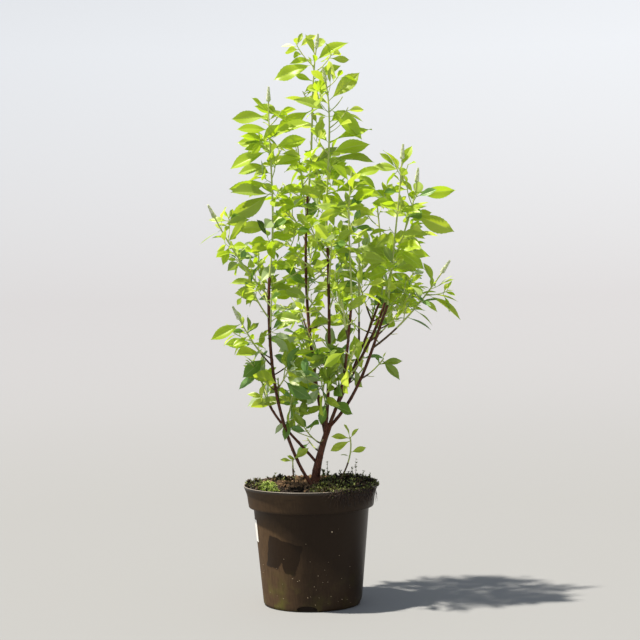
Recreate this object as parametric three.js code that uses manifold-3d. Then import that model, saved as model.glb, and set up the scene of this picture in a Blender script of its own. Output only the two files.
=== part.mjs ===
// A flowering shrub of the summersweet kind, 0.9 m high, in its ten-litre nursery pot.
// Millimetres, Z up. The origin is the middle of the pot's flat underside, and -Y is the front.
// The wood is a trunk and woody canes. Each leafy shoot is a piece of its own, grown by a seeded
// rule: one stem, a few sprigs, and leaves in a spiral whose roots are sunk in the stem.

import * as THREE from 'three';
import { mergeVertices } from 'three/addons/utils/BufferGeometryUtils.js';
import Module from 'manifold-3d';

const wasm = await Module();
wasm.setup();

// The pot: a thin moulded shell with a flared lip, a band under it and a tapering body
const POT_HEIGHT = 240;
const LIP_RADIUS = 135;
const LIP_FOOT = 222;
const LIP_FOOT_RADIUS = 128.3;
const BAND_FOOT = 196;
const BAND_FOOT_RADIUS = 124.7;
const BODY_RADIUS = 115.5;
const FOOT_RADIUS = 98.2;
const FOOT_ROUNDING = 6;
const POT_WALL = 2.2;
const POT_SIDES = 36;
const DRAIN_WIDTH = 41;
const DRAIN_HEIGHT = 12;
const DRAIN_DEPTH = 16;
const DRAIN_COUNT = 4;
const DRAIN_TURN = -96.5;

// What fills it, and the gap that separate pieces keep
const CLEAR = 0.3;
const SOIL_TOP = 240;
const SOIL_EDGE = 233;
const SOIL_CROWN_RADIUS = 112;
const GROUND = SOIL_TOP + CLEAR;
const BURIED = SOIL_TOP - 5;

// Moss cushions on the soil: a bright tuft at the front left, a dark lump beside it, and a mound of
// two domes on the right
const CUSHIONS = {
  bright_moss: [{ middle: [-82, -52], radii: [25, 23], height: 15 }],
  left_moss: [{ middle: [-113, -8], radii: [20, 20], height: 9 }],
  right_moss: [
    { middle: [78, 30], radii: [54, 40], height: 19 },
    { middle: [112, 6], radii: [27, 34], height: 14 },
  ],
};
const CUSHION_SIDES = 12;

// Leaves. A pair of values in square brackets is a range.
const LEAF_LENGTH = 76;
const SHORT_SHOOT_LEAF = 0.72;
const SPRIG_LEAF = 0.5;
const SMALLEST_LEAF = 0.62;
const LEAF_SWELL = 0.42;
const LENGTH_SPREAD = [0.84, 1.16];
const LEAF_WIDTH = 0.48;
const WIDTH_SPREAD = [0.9, 1.1];
const LEAF_BROADEST = 0.6;
const LEAF_THICKEST = 0.35;
const LEAF_THICKNESS = 1.5;
const LEAF_FOLD = 0.16;
const LEAF_DROOP = [0.05, 0.18];
const LEAF_ROLL = [12, 62];
const LEAF_LIFT = [6, 42];
const LIFT_SPREAD = [-9, 9];
const LEAF_SAG = 0.3;
const ROOT_DEPTH = 0.35;
const OUTLINE_ROLL = 42;
const OUTLINE_DROOP = 0.08;

// How the leaves follow each other along a stem, and how much of its foot is bare
const SPIRAL = 137.5;
const SPIRAL_SPREAD = [-12, 12];
const INTERNODE = 21;
const SPRIG_INTERNODE = 20;
const FIRST_LEAF = 0.7;
const BARE_LEADER = 0.04;
const BARE_SHOOT = 0.12;
const BARE_SPRIG = 0.3;
const BARE_BASAL_SHOOT = 0.8;

// Stems: a short shoot is thin and has small leaves, a long one is thick and has large leaves
const SHORT_SHOOT = 70;
const LONG_SHOOT = 300;
const SHORT_STEM_RADIUS = 1.6;
const STEM_RADIUS = 2.3;
const STEM_TIP_RADIUS = 1.1;
const STEM_STEP = 45;
const STEM_STEPS = [2, 7];
const STEM_SIDES = 3;
const SHOOT_BOW = 0.13;

// Sprigs, twigs that are set by hand, and spikes of flower buds
const SPRIG_LENGTH = 46;
const SPRIG_SPREAD = [0.75, 1.25];
const SPRIG_SPAN = [0.3, 0.92];
const SPRIG_BEND = 0.6;
const SPRIG_LIFTS = [36, 66];
const SPRIG_RADIUS = 1.2;
const SPRIG_TIP_RADIUS = 0.84;
const SPRIG_STEPS = 2;
const TWIG_BEND = 0.55;
const TWIG_TURNS = [-12, 14];
const SPIKE_LENGTH = 27;
const SPIKE_SINK = 3;
const SPIKE_RADIUS = 3.2;
const SPIKE_TIP_RADIUS = 1.12;
const SPIKE_SIDES = 6;

// Limbs
const LIMB_SIDES = 8;
const LIMB_STEPS = 8;
const FLARE_FADE = 12;
const CUT_BACK = CLEAR * 1.3;

// Flatter faces than this are joined, and corners closer than this are kept from arising
const FLATNESS = 0.1;
const CORNER_GAP = 0.004;

const FIRST_SEED = 7919;
const SEED_STEP = 104729;

// The limbs: a foot, two bends and a tip give each one's line, then its foot and tip radius. A cane
// that forks off starts inside the limb that carries it, and is cut back clear of that limb.
const LIMBS = {
  trunk: {
    line: [[7, 9, BURIED], [13, 8, 285], [27, 9, 325], [41, 10, 361]],
    radii: [7.6, 5.8],
    flare: 5,
  },
  left_cane: {
    line: [[4, -13, BURIED], [-56, -15, 322], [-86, -38, 470], [-75, -30, 656]],
    radii: [3.2, 3],
  },
  crossing_cane: {
    line: [[12, 8, 281], [-22, 8, 325], [-64, 0, 360], [-85, -6, 410]],
    radii: [2.9, 2.3],
  },
  right_inner_cane: {
    line: [[41, 10, 361], [74, 34, 446], [131, 48, 517], [156, 54, 600]],
    radii: [3.5, 2.6],
  },
  right_cane: {
    line: [[36, 9, 350], [102, -11, 413], [124, -30, 510], [158, -36, 597]],
    radii: [3.3, 2.6],
  },
  middle_cane: {
    line: [[28, 8, 328], [43, -17, 420], [43, -20, 595], [41, -22, 713]],
    radii: [3.5, 2.7],
  },
  back_cane: {
    line: [[31, 9, 336], [-3, 90, 505], [-11, 94, 667], [3, 97, 821]],
    radii: [3.8, 2.4],
  },
  right_front_cane: {
    line: [[37, 9, 352], [75, -43, 435], [76, -63, 523], [86, -74, 603]],
    radii: [3, 2.5],
  },
  right_back_cane: {
    line: [[59, 22, 405], [87, 70, 455], [111, 92, 510], [150, 106, 607]],
    radii: [2.8, 2.3],
  },
};

// The leaders carry the canes on: two bends and a tip, and a spike of buds where one shows. Leaves
// and twigs that make the crown's outline are set by hand, each by its place along the stem from 0
// to 1, its bearing from +X, its rise from level and its length.
const LEADERS = {
  left_leader: {
    on: 'left_cane',
    line: [[-57, -23, 782], [-73, -20, 900], [-71, -20, 1003]],
    sprigs: 4,
    spike: true,
    leaves: [
      [0.9, 176, 4, 70], [0.82, 205, 6, 64], [0.73, 168, 10, 66], [0.7, 184, -20, 82],
      [0.61, 166, -8, 68], [0.51, 190, -6, 80], [0.46, 178, -34, 84], [0.95, 345, -30, 42],
    ],
  },
  middle_leader: {
    on: 'middle_cane',
    line: [[34, -31, 830], [60, -35, 947], [42, -36, 1040]],
    sprigs: 4,
    spike: true,
    leaves: [[0.9, 2, 42, 79], [0.83, 352, -36, 84]],
    twigs: [[0.95, 5, 44, 32], [0.79, 12, 48, 42]],
  },
  apex_leader: {
    on: 'back_cane',
    line: [[17, 92, 915], [12, 82, 1030], [25, 82, 1119]],
    sprigs: 3,
    spike: true,
    leaves: [[0.9, 0, 34, 74], [0.88, 186, -14, 84], [0.91, 172, -3, 50]],
    twigs: [[0.86, 180, 54, 64]],
  },
  right_leader: {
    on: 'right_cane',
    line: [[170, -43, 702], [182, -50, 790], [190, -48, 884]],
    sprigs: 3,
    spike: true,
    leaves: [[0.92, 178, 13, 54], [0.94, 20, 66, 46], [0.42, 2, 4, 58], [0.38, 350, -36, 58]],
  },
  right_inner_leader: {
    on: 'right_inner_cane',
    line: [[165, 55, 686], [212, 44, 752], [223, 40, 842]],
    sprigs: 3,
    spike: true,
    leaves: [[0.92, 2, -6, 80], [0.76, 352, -30, 92]],
  },
  right_back_leader: {
    on: 'right_back_cane',
    line: [[160, 110, 655], [150, 124, 740], [146, 132, 800]],
    sprigs: 2,
  },
  right_front_leader: {
    on: 'right_front_cane',
    line: [[85, -85, 692], [78, -87, 783], [90, -86, 860]],
    sprigs: 3,
    leaves: [[0.96, 5, 12, 56], [0.86, 350, -10, 58]],
  },
  crossing_leader: {
    on: 'crossing_cane',
    line: [[-91, -9, 425], [-94, -12, 440], [-95, -14, 462]],
    leaves: [[0.1, 185, 12, 36]],
  },
};

// The side shoots: the limb, the height where it leaves, its bearing from +X, its rise from level
// and its reach, foot to tip. Some have leaves set by hand too, or larger leaves than a short
// shoot has as a rule.
const SHOOTS = {
  left_high_shoot: {
    on: 'left_cane', height: 618, bearing: 201, rise: 55, reach: 190, sprigs: 2, spike: true,
    leaves: [[0.88, 196, -28, 50], [0.72, 212, -62, 40]],
  },
  left_upper_shoot: { on: 'left_cane', height: 575, bearing: 232, rise: 50, reach: 90, sprigs: 1 },
  left_middle_shoot: {
    on: 'left_cane', height: 479, bearing: 206, rise: 54, reach: 118, sprigs: 1, spike: true,
    leaves: [[0.93, 187, -24, 52]],
  },
  left_low_shoot: { on: 'left_cane', height: 447, bearing: 217, rise: 36, reach: 72, sprigs: 0 },
  left_inner_shoot: {
    on: 'left_cane', height: 432, bearing: 297, rise: 36, reach: 72, sprigs: 1, leafSize: 0.95,
  },
  left_front_shoot: { on: 'left_cane', height: 535, bearing: 275, rise: 45, reach: 130, sprigs: 2 },
  left_back_shoot: { on: 'left_cane', height: 600, bearing: 110, rise: 52, reach: 135, sprigs: 2 },
  crossing_shoot: {
    on: 'crossing_cane', height: 352, bearing: 294, rise: 62, reach: 74, sprigs: 1, leafSize: 0.95,
  },
  trunk_front_shoot: {
    on: 'trunk', height: 318, bearing: 240, rise: 28, reach: 76, sprigs: 1, leafSize: 0.95,
  },
  trunk_back_shoot: { on: 'trunk', height: 302, bearing: 118, rise: 22, reach: 62, sprigs: 0 },
  middle_low_shoot: {
    on: 'middle_cane', height: 392, bearing: 262, rise: 38, reach: 112, sprigs: 2, leafSize: 0.95,
  },
  middle_front_shoot: {
    on: 'middle_cane', height: 470, bearing: 248, rise: 36, reach: 108, sprigs: 2, leafSize: 0.95,
  },
  middle_left_shoot: {
    on: 'middle_cane', height: 566, bearing: 230, rise: 38, reach: 80, sprigs: 1, leafSize: 0.95,
  },
  middle_right_shoot: {
    on: 'middle_cane', height: 588, bearing: 308, rise: 66, reach: 104, sprigs: 1,
  },
  middle_high_shoot: {
    on: 'middle_cane', height: 690, bearing: 236, rise: 48, reach: 96, sprigs: 1,
  },
  middle_crown_shoot: {
    on: 'middle_cane', height: 640, bearing: 275, rise: 48, reach: 135, sprigs: 2,
  },
  back_low_shoot: { on: 'back_cane', height: 430, bearing: 112, rise: 44, reach: 130, sprigs: 2 },
  back_left_shoot: { on: 'back_cane', height: 531, bearing: 122, rise: 60, reach: 136, sprigs: 2 },
  back_right_shoot: { on: 'back_cane', height: 586, bearing: 20, rise: 58, reach: 78, sprigs: 1 },
  back_outer_shoot: { on: 'back_cane', height: 610, bearing: 84, rise: 48, reach: 150, sprigs: 2 },
  back_upper_shoot: { on: 'back_cane', height: 672, bearing: 150, rise: 54, reach: 100, sprigs: 1 },
  back_high_shoot: { on: 'back_cane', height: 740, bearing: 160, rise: 58, reach: 122, sprigs: 2 },
  back_dark_shoot: { on: 'back_cane', height: 780, bearing: 244, rise: 76, reach: 160, sprigs: 2 },
  back_top_shoot: { on: 'back_cane', height: 800, bearing: 62, rise: 58, reach: 140, sprigs: 2 },
  right_low_shoot: {
    on: 'right_cane', height: 450, bearing: 322, rise: 36, reach: 70, sprigs: 0,
    leaves: [[0.95, 335, -44, 48]],
  },
  right_branch: {
    on: 'right_cane', height: 512, bearing: 343, rise: 46, reach: 205, sprigs: 2, spike: true,
    leaves: [[0.78, 350, -30, 78], [0.5, 340, -22, 50]],
  },
  right_outer_shoot: {
    on: 'right_cane', height: 575, bearing: 350, rise: 40, reach: 92, sprigs: 1,
  },
  right_inner_shoot: {
    on: 'right_inner_cane', height: 520, bearing: 30, rise: 42, reach: 120, sprigs: 1,
  },
  right_upper_shoot: {
    on: 'right_inner_cane', height: 575, bearing: 12, rise: 50, reach: 110, sprigs: 1,
  },
  right_back_shoot: {
    on: 'right_back_cane', height: 505, bearing: 70, rise: 44, reach: 140, sprigs: 2,
  },
  right_back_upper_shoot: {
    on: 'right_back_cane', height: 560, bearing: 115, rise: 56, reach: 130, sprigs: 1,
  },
  young_leader: {
    on: 'right_back_cane', height: 492, bearing: 272, rise: 74, reach: 250, sprigs: 3,
  },
  front_low_shoot: {
    on: 'right_front_cane', height: 455, bearing: 285, rise: 40, reach: 105, sprigs: 2, leafSize: 0.95,
  },
  front_shoot: {
    on: 'right_front_cane', height: 530, bearing: 262, rise: 44, reach: 118, sprigs: 2,
  },
};

// Two young shoots rise from the soil itself: a foot, a bend and a tip
const BASAL_SHOOTS = {
  left_basal_shoot: {
    line: [[-31, -24, BURIED], [-36, -25, 262], [-35, -26, 292]], leafSize: 0.4,
    leaves: [[0.95, 183, 10, 24], [0.97, 8, 40, 38]],
  },
  right_basal_shoot: {
    line: [[50, -16, BURIED], [88, -9, 290], [80, 2, 332]], leafSize: 0.5,
    leaves: [
      [0.97, 193, 12, 36], [0.96, 250, 52, 40], [0.92, 188, -24, 43], [0.66, 8, 16, 32],
      [0.58, 176, 16, 18],
    ],
  },
};

const COLOURS = {
  pot: 0x2c2a26,
  soil: 0x3b2a1d,
  moss: 0x5d6b2a,
  brightMoss: 0x93b336,
  wood: 0x4a2a1e,
  leaf: 0x86b32e,
};

const degrees = (angle) => THREE.MathUtils.degToRad(angle);
const place = (point) => new THREE.Vector3(...point);
const between = ([low, high], share) => THREE.MathUtils.lerp(low, high, share);

// A closed geometry becomes a solid that can be joined and cut
function solidOf(geometry) {
  const shell = geometry.clone();
  shell.deleteAttribute('normal');
  shell.deleteAttribute('uv');
  const merged = mergeVertices(shell, 1e-4);
  return new wasm.Manifold(new wasm.Mesh({
    numProp: 3,
    vertProperties: Float32Array.from(merged.attributes.position.array),
    triVerts: Uint32Array.from(merged.index.array),
  }));
}

// The largest body of a solid: loose scraps and sealed hollows are dropped
function largestBody(solid) {
  const bodies = solid.decompose();
  return bodies.reduce((best, body) => (body.volume() > best.volume() ? body : best));
}

// How many of a solid's corners lie so close together that they could run into one when stored
function closeCorners(solid) {
  const corners = solid.getMesh().vertProperties;
  const counts = [0, 0.5].map((shift) => {
    const cells = new Set();
    for (let index = 0; index < corners.length; index += 3) {
      const corner = Array.from(corners.subarray(index, index + 3));
      cells.add(corner.map((value) => Math.floor(value / CORNER_GAP + shift)).join());
    }
    return corners.length / 3 - cells.size;
  });
  return Math.max(...counts);
}

function geometryOf(solid) {
  const mesh = solid.getMesh();
  const geometry = new THREE.BufferGeometry();
  geometry.setAttribute('position', new THREE.BufferAttribute(Float32Array.from(mesh.vertProperties), 3));
  geometry.setIndex(new THREE.BufferAttribute(Uint32Array.from(mesh.triVerts), 1));
  geometry.computeVertexNormals();
  return geometry;
}

const plant = new THREE.Group();

function addPart(name, solid, color, roughness) {
  const material = new THREE.MeshStandardMaterial({ color, roughness, metalness: 0 });
  const mesh = new THREE.Mesh(geometryOf(solid), material);
  mesh.name = name;
  plant.add(mesh);
}

// A turned solid from its profile, radius and height at each point
function turned(profile, sides) {
  const points = profile.map(([radius, height]) => new THREE.Vector2(radius, height));
  return solidOf(new THREE.LatheGeometry(points, sides).rotateX(Math.PI / 2));
}

// The outer radius of the body and of the lip at a height, each on its straight taper
const bodyRadius = (height) => between([FOOT_RADIUS, BODY_RADIUS], height / BAND_FOOT);
const lipRadius = (height) => THREE.MathUtils.mapLinear(
  height,
  LIP_FOOT,
  POT_HEIGHT,
  LIP_FOOT_RADIUS,
  LIP_RADIUS,
);

function potSolid() {
  const innerBand = BAND_FOOT + POT_WALL;
  const corner = FOOT_ROUNDING * (1 - Math.SQRT1_2);
  const shell = turned([
    [0, 0],
    [FOOT_RADIUS - FOOT_ROUNDING, 0],
    [FOOT_RADIUS - corner, corner],
    [bodyRadius(FOOT_ROUNDING), FOOT_ROUNDING],
    [BODY_RADIUS, BAND_FOOT],
    [BAND_FOOT_RADIUS, BAND_FOOT],
    [LIP_FOOT_RADIUS, LIP_FOOT],
    [LIP_RADIUS, POT_HEIGHT - POT_WALL],
    [LIP_RADIUS, POT_HEIGHT],
    [LIP_RADIUS - POT_WALL, POT_HEIGHT],
    [LIP_FOOT_RADIUS - POT_WALL, LIP_FOOT],
    [BAND_FOOT_RADIUS - POT_WALL, innerBand],
    [BODY_RADIUS - POT_WALL, innerBand],
    [bodyRadius(FOOT_ROUNDING) - POT_WALL, FOOT_ROUNDING],
    [FOOT_RADIUS - FOOT_ROUNDING - POT_WALL, POT_WALL],
    [0, POT_WALL],
  ], POT_SIDES);
  const drains = Array.from({ length: DRAIN_COUNT }, (_, index) => drainCutter(index));
  return drains.reduce((pot, drain) => pot.subtract(drain), shell);
}

// A low notch through the corner where the wall meets the base
function drainCutter(index) {
  const box = new THREE.BoxGeometry(DRAIN_DEPTH, DRAIN_WIDTH, DRAIN_HEIGHT * 2);
  const turn = degrees(DRAIN_TURN + index * 360 / DRAIN_COUNT);
  return solidOf(box.translate(FOOT_RADIUS, 0, 0).rotateZ(turn));
}

function soilSolid() {
  const inset = POT_WALL + CLEAR;
  const step = BAND_FOOT + inset;
  return turned([
    [0, inset],
    [FOOT_RADIUS - FOOT_ROUNDING - inset, inset],
    [bodyRadius(FOOT_ROUNDING + CLEAR) - inset, FOOT_ROUNDING + CLEAR],
    [bodyRadius(step) - inset - CLEAR, step],
    [BAND_FOOT_RADIUS - inset, step],
    [LIP_FOOT_RADIUS - inset, LIP_FOOT],
    [lipRadius(SOIL_EDGE) - inset, SOIL_EDGE],
    [SOIL_CROWN_RADIUS, SOIL_TOP],
    [0, SOIL_TOP],
  ], POT_SIDES);
}

// A low dome of moss with a flat underside just off the soil
function mossDome({ middle, radii, height }) {
  const profile = [[0, 0], [0.97, 0], [1, 0.22], [0.86, 0.6], [0.5, 0.92], [0, 1]];
  return turned(profile, CUSHION_SIDES).scale([...radii, height]).translate([...middle, GROUND]);
}

function cushionSolid(domes) {
  return domes.map(mossDome).reduce((cushion, dome) => cushion.add(dome));
}

// Two directions square to a curve's tangent, held by the plane that the whole curve rises in
function crossAxes(curve, t) {
  const chord = curve.getPoint(1).sub(curve.getPoint(0));
  const side = new THREE.Vector3(chord.y, -chord.x, 0);
  const tangent = curve.getTangent(t);
  side.addScaledVector(tangent, -side.dot(tangent)).normalize();
  return { tangent, side, front: tangent.clone().cross(side) };
}

// A tapering limb along a curve: a closed cylinder bent to it, with a flare at the foot if asked
function limb({ curve, steps }, footRadius, tipRadius, sides, flare = 0) {
  const cylinder = new THREE.CylinderGeometry(1, 1, 1, sides, steps);
  const points = cylinder.attributes.position;
  for (let index = 0; index < points.count; index += 1) {
    const t = THREE.MathUtils.clamp(points.getY(index) + 0.5, 0, 1);
    const radius = THREE.MathUtils.lerp(footRadius, tipRadius, t) + flare * Math.exp(-FLARE_FADE * t);
    const { side, front } = crossAxes(curve, t);
    const point = curve.getPoint(t);
    point.addScaledVector(side, -radius * points.getX(index));
    point.addScaledVector(front, radius * points.getZ(index));
    points.setXYZ(index, point.x, point.y, point.z);
  }
  return solidOf(cylinder);
}

// The same drawing of numbers each run, from 0 to 1
function seededDraws(seed) {
  let state = seed;
  return () => {
    state = (state * 16807) % 2147483647;
    return state / 2147483647;
  };
}

// A leaf is an octahedron drawn out: foot and tip, two edges, and a middle above and below.
// Its edges are folded up a little and its tip droops.
function leafSolid({ foot, heading, roll, length, width, droop }) {
  const across = new THREE.Vector3(heading.y, -heading.x, 0).normalize().applyAxisAngle(heading, roll);
  const above = across.clone().cross(heading);
  const blade = new THREE.OctahedronGeometry(1);
  const points = blade.attributes.position;
  for (let index = 0; index < points.count; index += 1) {
    const edge = points.getZ(index);
    const face = points.getY(index);
    const middle = Math.abs(face) * LEAF_THICKEST + Math.abs(edge) * LEAF_BROADEST;
    const along = Math.max(points.getX(index), 0) + middle;
    const lift = face * LEAF_THICKNESS / 2 + Math.abs(edge) * LEAF_FOLD * width
      - droop * length * along * along;
    const point = foot.clone().addScaledVector(heading, along * length);
    point.addScaledVector(across, edge * width / 2).addScaledVector(above, lift);
    points.setXYZ(index, point.x, point.y, point.z);
  }
  return solidOf(blade);
}

// How large a leaf is for its place on a stem, foot 0 to tip 1
function leafScale(t) {
  return SMALLEST_LEAF + LEAF_SWELL * Math.sin(Math.PI * between([0.15, 1], t));
}

// A direction that leaves a stem on a bearing round it, lifted towards its tip
function outward(curve, t, bearing, lift) {
  const { tangent, side, front } = crossAxes(curve, t);
  const out = side.multiplyScalar(Math.cos(bearing)).addScaledVector(front, Math.sin(bearing));
  return out.multiplyScalar(Math.cos(lift)).addScaledVector(tangent, Math.sin(lift)).normalize();
}

// The middle of a stem as it is made, straight between its steps
function axisPoint({ curve, steps }, t) {
  const step = Math.min(Math.floor(t * steps), steps - 1);
  return curve.getPoint(step / steps).lerp(curve.getPoint((step + 1) / steps), t * steps - step);
}

// Where a leaf's root is sunk, a little past the middle of its stem
const rootOf = (stem, t, heading) => axisPoint(stem, t).addScaledVector(heading, -ROOT_DEPTH);

// Leaves in a spiral from the bare foot of a stem to its tip
function leavesOn(stem, draw, bare, internode, scale) {
  const { curve } = stem;
  const count = Math.max(2, Math.round(curve.getLength() * (1 - bare) / internode));
  const leaves = [];
  let bearing = draw() * 2 * Math.PI;
  for (let index = 0; index < count; index += 1) {
    const t = between([bare, 1], (index + FIRST_LEAF) / count);
    const lift = between(LEAF_LIFT, t) + between(LIFT_SPREAD, draw());
    const heading = outward(curve, t, bearing, degrees(lift));
    heading.z -= LEAF_SAG * (1 - t);
    heading.normalize();
    const length = LEAF_LENGTH * scale * leafScale(t) * between(LENGTH_SPREAD, draw());
    leaves.push({
      foot: rootOf(stem, t, heading),
      heading,
      roll: (draw() < 0.5 ? -1 : 1) * degrees(between(LEAF_ROLL, draw())),
      length,
      width: length * LEAF_WIDTH * between(WIDTH_SPREAD, draw()),
      droop: between(LEAF_DROOP, draw()),
    });
    bearing += degrees(SPIRAL + between(SPIRAL_SPREAD, draw()));
  }
  return leaves;
}

// The heading of a bearing and a rise
function headingOf(bearing, rise) {
  const level = Math.cos(degrees(rise));
  return new THREE.Vector3(
    level * Math.cos(degrees(bearing)),
    level * Math.sin(degrees(bearing)),
    Math.sin(degrees(rise)),
  );
}

// The leaves that are set by hand turn their faces half to the front
function outlineLeaves(stem, rows = []) {
  return rows.map(([along, bearing, rise, length]) => ({
    foot: rootOf(stem, along, headingOf(bearing, rise)),
    heading: headingOf(bearing, rise),
    roll: degrees(Math.cos(degrees(bearing)) > 0 ? OUTLINE_ROLL : -OUTLINE_ROLL),
    length,
    width: length * LEAF_WIDTH,
    droop: OUTLINE_DROOP,
  }));
}

// A twig that bends once on its way: its foot, its two headings, its length and where it bends
function bentTwig(foot, headings, length, bendShare) {
  const bend = foot.clone().addScaledVector(headings[0], length * bendShare);
  const tip = bend.clone().addScaledVector(headings[1], length * (1 - bendShare));
  return { curve: new THREE.QuadraticBezierCurve3(foot, bend, tip), steps: SPRIG_STEPS };
}

// Sprigs leave a stem between its middle and its tip, and turn up
function sprigsOn(stem, draw, count) {
  const sprigs = [];
  let bearing = draw() * 2 * Math.PI;
  for (let index = 0; index < count; index += 1) {
    const t = between(SPRIG_SPAN, (index + 0.5) / count);
    const length = SPRIG_LENGTH * between(SPRIG_SPREAD, draw());
    const headings = SPRIG_LIFTS.map((lift) => outward(stem.curve, t, bearing, degrees(lift)));
    sprigs.push(bentTwig(axisPoint(stem, t), headings, length, SPRIG_BEND));
    bearing += degrees(SPIRAL);
  }
  return sprigs;
}

function outlineTwigs(stem, rows = []) {
  return rows.map(([along, bearing, rise, length]) => {
    const headings = TWIG_TURNS.map((turn) => headingOf(bearing, rise + turn));
    return bentTwig(axisPoint(stem, along), headings, length, TWIG_BEND);
  });
}

// The spike of flower buds that ends a shoot
function spikeSolid(curve) {
  const foot = curve.getPoint(1).addScaledVector(curve.getTangent(1), -SPIKE_SINK);
  const tip = curve.getPoint(1).addScaledVector(curve.getTangent(1), SPIKE_LENGTH);
  const axis = { curve: new THREE.LineCurve3(foot, tip), steps: 1 };
  return limb(axis, SPIKE_RADIUS, SPIKE_TIP_RADIUS, SPIKE_SIDES);
}

const lineOf = (points) => new THREE.CubicBezierCurve3(...points.map(place));

// The point of a limb's curve at a height
function atHeight(curve, height) {
  let low = 0;
  let high = 1;
  for (let halving = 0; halving < 30; halving += 1) {
    const middle = (low + high) / 2;
    if (curve.getPoint(middle).z < height) low = middle;
    else high = middle;
  }
  return curve.getPoint(low);
}

// A side shoot rises in a shallow bow to its tip
function shootCurve({ on, height, bearing, rise, reach }) {
  const foot = atHeight(lineOf(LIMBS[on].line), height);
  const tip = foot.clone().addScaledVector(headingOf(bearing, rise), reach);
  const bend = foot.clone().lerp(tip, 0.5);
  bend.z -= SHOOT_BOW * reach;
  return new THREE.QuadraticBezierCurve3(foot, bend, tip);
}

// A leader begins a hair beyond its cane's tip and follows on from it
function leaderCurve({ on, line }) {
  const cane = lineOf(LIMBS[on].line);
  const foot = cane.getPoint(1).addScaledVector(cane.getTangent(1), CUT_BACK);
  return new THREE.CubicBezierCurve3(foot, ...line.map(place));
}

const tooNear = (solid, others) => others.some((other) => solid.minGap(other, CLEAR * 2) < CLEAR);

// What rises from the soil is cut off flat just above it
const potSpace = new THREE.BoxGeometry(2 * LIP_RADIUS, 2 * LIP_RADIUS, GROUND);
const belowGround = solidOf(potSpace.translate(0, 0, GROUND / 2));

// The limbs, each cut clear of the ones before it
const limbs = {};
const swollenLimbs = { belowGround };
for (const [name, { line, radii, flare = 0 }] of Object.entries(LIMBS)) {
  const axis = { curve: lineOf(line), steps: LIMB_STEPS };
  const grow = (extra) => limb(axis, radii[0] + extra, radii[1] + extra, LIMB_SIDES, flare);
  const cleared = Object.values(swollenLimbs).reduce((solid, other) => solid.subtract(other), grow(0));
  limbs[name] = largestBody(cleared);
  swollenLimbs[name] = grow(CUT_BACK);
}

// Every shoot first gets its stem and sprigs, so that the leaves can keep clear of them all
const shoots = [];
function startShoot(name, curve, bare, { sprigs = 0, spike = false, leafSize, leaves, twigs }) {
  const draw = seededDraws(FIRST_SEED + SEED_STEP * (shoots.length + 1));
  const length = curve.getLength();
  const vigour = THREE.MathUtils.clamp((length - SHORT_SHOOT) / (LONG_SHOOT - SHORT_SHOOT), 0, 1);
  const stem = { curve, steps: THREE.MathUtils.clamp(Math.round(length / STEM_STEP), ...STEM_STEPS) };
  let wood = limb(stem, between([SHORT_STEM_RADIUS, STEM_RADIUS], vigour), STEM_TIP_RADIUS, STEM_SIDES);
  for (const swollen of Object.values(swollenLimbs)) wood = wood.subtract(swollen);
  wood = largestBody(wood);
  const others = [...Object.values(limbs), ...shoots.map((shoot) => shoot.solid)];
  const keptTwigs = [...outlineTwigs(stem, twigs), ...sprigsOn(stem, draw, sprigs)].filter((twig) => {
    const solid = limb(twig, SPRIG_RADIUS, SPRIG_TIP_RADIUS, STEM_SIDES);
    const joined = wood.add(solid);
    if (tooNear(solid, others) || closeCorners(joined) > closeCorners(wood)) return false;
    wood = joined;
    return true;
  });
  if (spike) wood = wood.add(spikeSolid(curve));
  const size = leafSize ?? between([SHORT_SHOOT_LEAF, 1], vigour);
  const seeded = leavesOn(stem, draw, bare, INTERNODE, size);
  for (const twig of keptTwigs) {
    seeded.push(...leavesOn(twig, draw, BARE_SPRIG, SPRIG_INTERNODE, SPRIG_LEAF * size));
  }
  shoots.push({ name, solid: wood, outline: outlineLeaves(stem, leaves), seeded, placed: [] });
}

for (const [name, spec] of Object.entries(LEADERS)) {
  startShoot(name, leaderCurve(spec), BARE_LEADER, spec);
}
for (const [name, spec] of Object.entries(SHOOTS)) {
  startShoot(name, shootCurve(spec), BARE_SHOOT, spec);
}
for (const [name, spec] of Object.entries(BASAL_SHOOTS)) {
  startShoot(name, new THREE.QuadraticBezierCurve3(...spec.line.map(place)), BARE_BASAL_SHOOT, spec);
}

// A leaf that would touch the pot, a limb, another shoot or an earlier leaf is left off
const pot = potSolid();
const soil = soilSolid();
const cushions = Object.entries(CUSHIONS).map(([name, domes]) => ({ name, solid: cushionSolid(domes) }));
const obstacles = [pot, soil, ...cushions.map(({ solid }) => solid), ...Object.values(limbs)];
function placeLeaves(shoot, leaves) {
  const otherShoots = shoots.filter((other) => other !== shoot).map((other) => other.solid);
  for (const leaf of leaves.map(leafSolid)) {
    const joined = shoot.solid.add(leaf);
    const touches = tooNear(leaf, [...obstacles, ...otherShoots, ...shoot.placed]);
    if (touches || closeCorners(joined) > closeCorners(shoot.solid)) continue;
    shoot.placed.push(leaf);
    shoot.solid = joined;
  }
}

for (const shoot of shoots) placeLeaves(shoot, shoot.outline);
for (const shoot of shoots) placeLeaves(shoot, shoot.seeded);

addPart('pot', pot, COLOURS.pot, 0.6);
addPart('soil', soil, COLOURS.soil, 0.95);
for (const { name, solid } of cushions) {
  addPart(name, solid, name === 'bright_moss' ? COLOURS.brightMoss : COLOURS.moss, 0.95);
}
for (const [name, solid] of Object.entries(limbs)) addPart(name, solid, COLOURS.wood, 0.75);
for (const { name, solid } of shoots) {
  addPart(name, largestBody(solid.simplify(FLATNESS)), COLOURS.leaf, 0.6);
}

export default plant;
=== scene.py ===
# %% [markdown]
# # A potted summersweet
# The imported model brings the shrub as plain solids: a trunk, canes, leafy shoots and a pot. This
# lesson dresses them. Every visible piece is grown or turned again at full detail, in the same place
# and at the same size, so that the solids stay true and only the looks change.

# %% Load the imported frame
from math import comb

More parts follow.
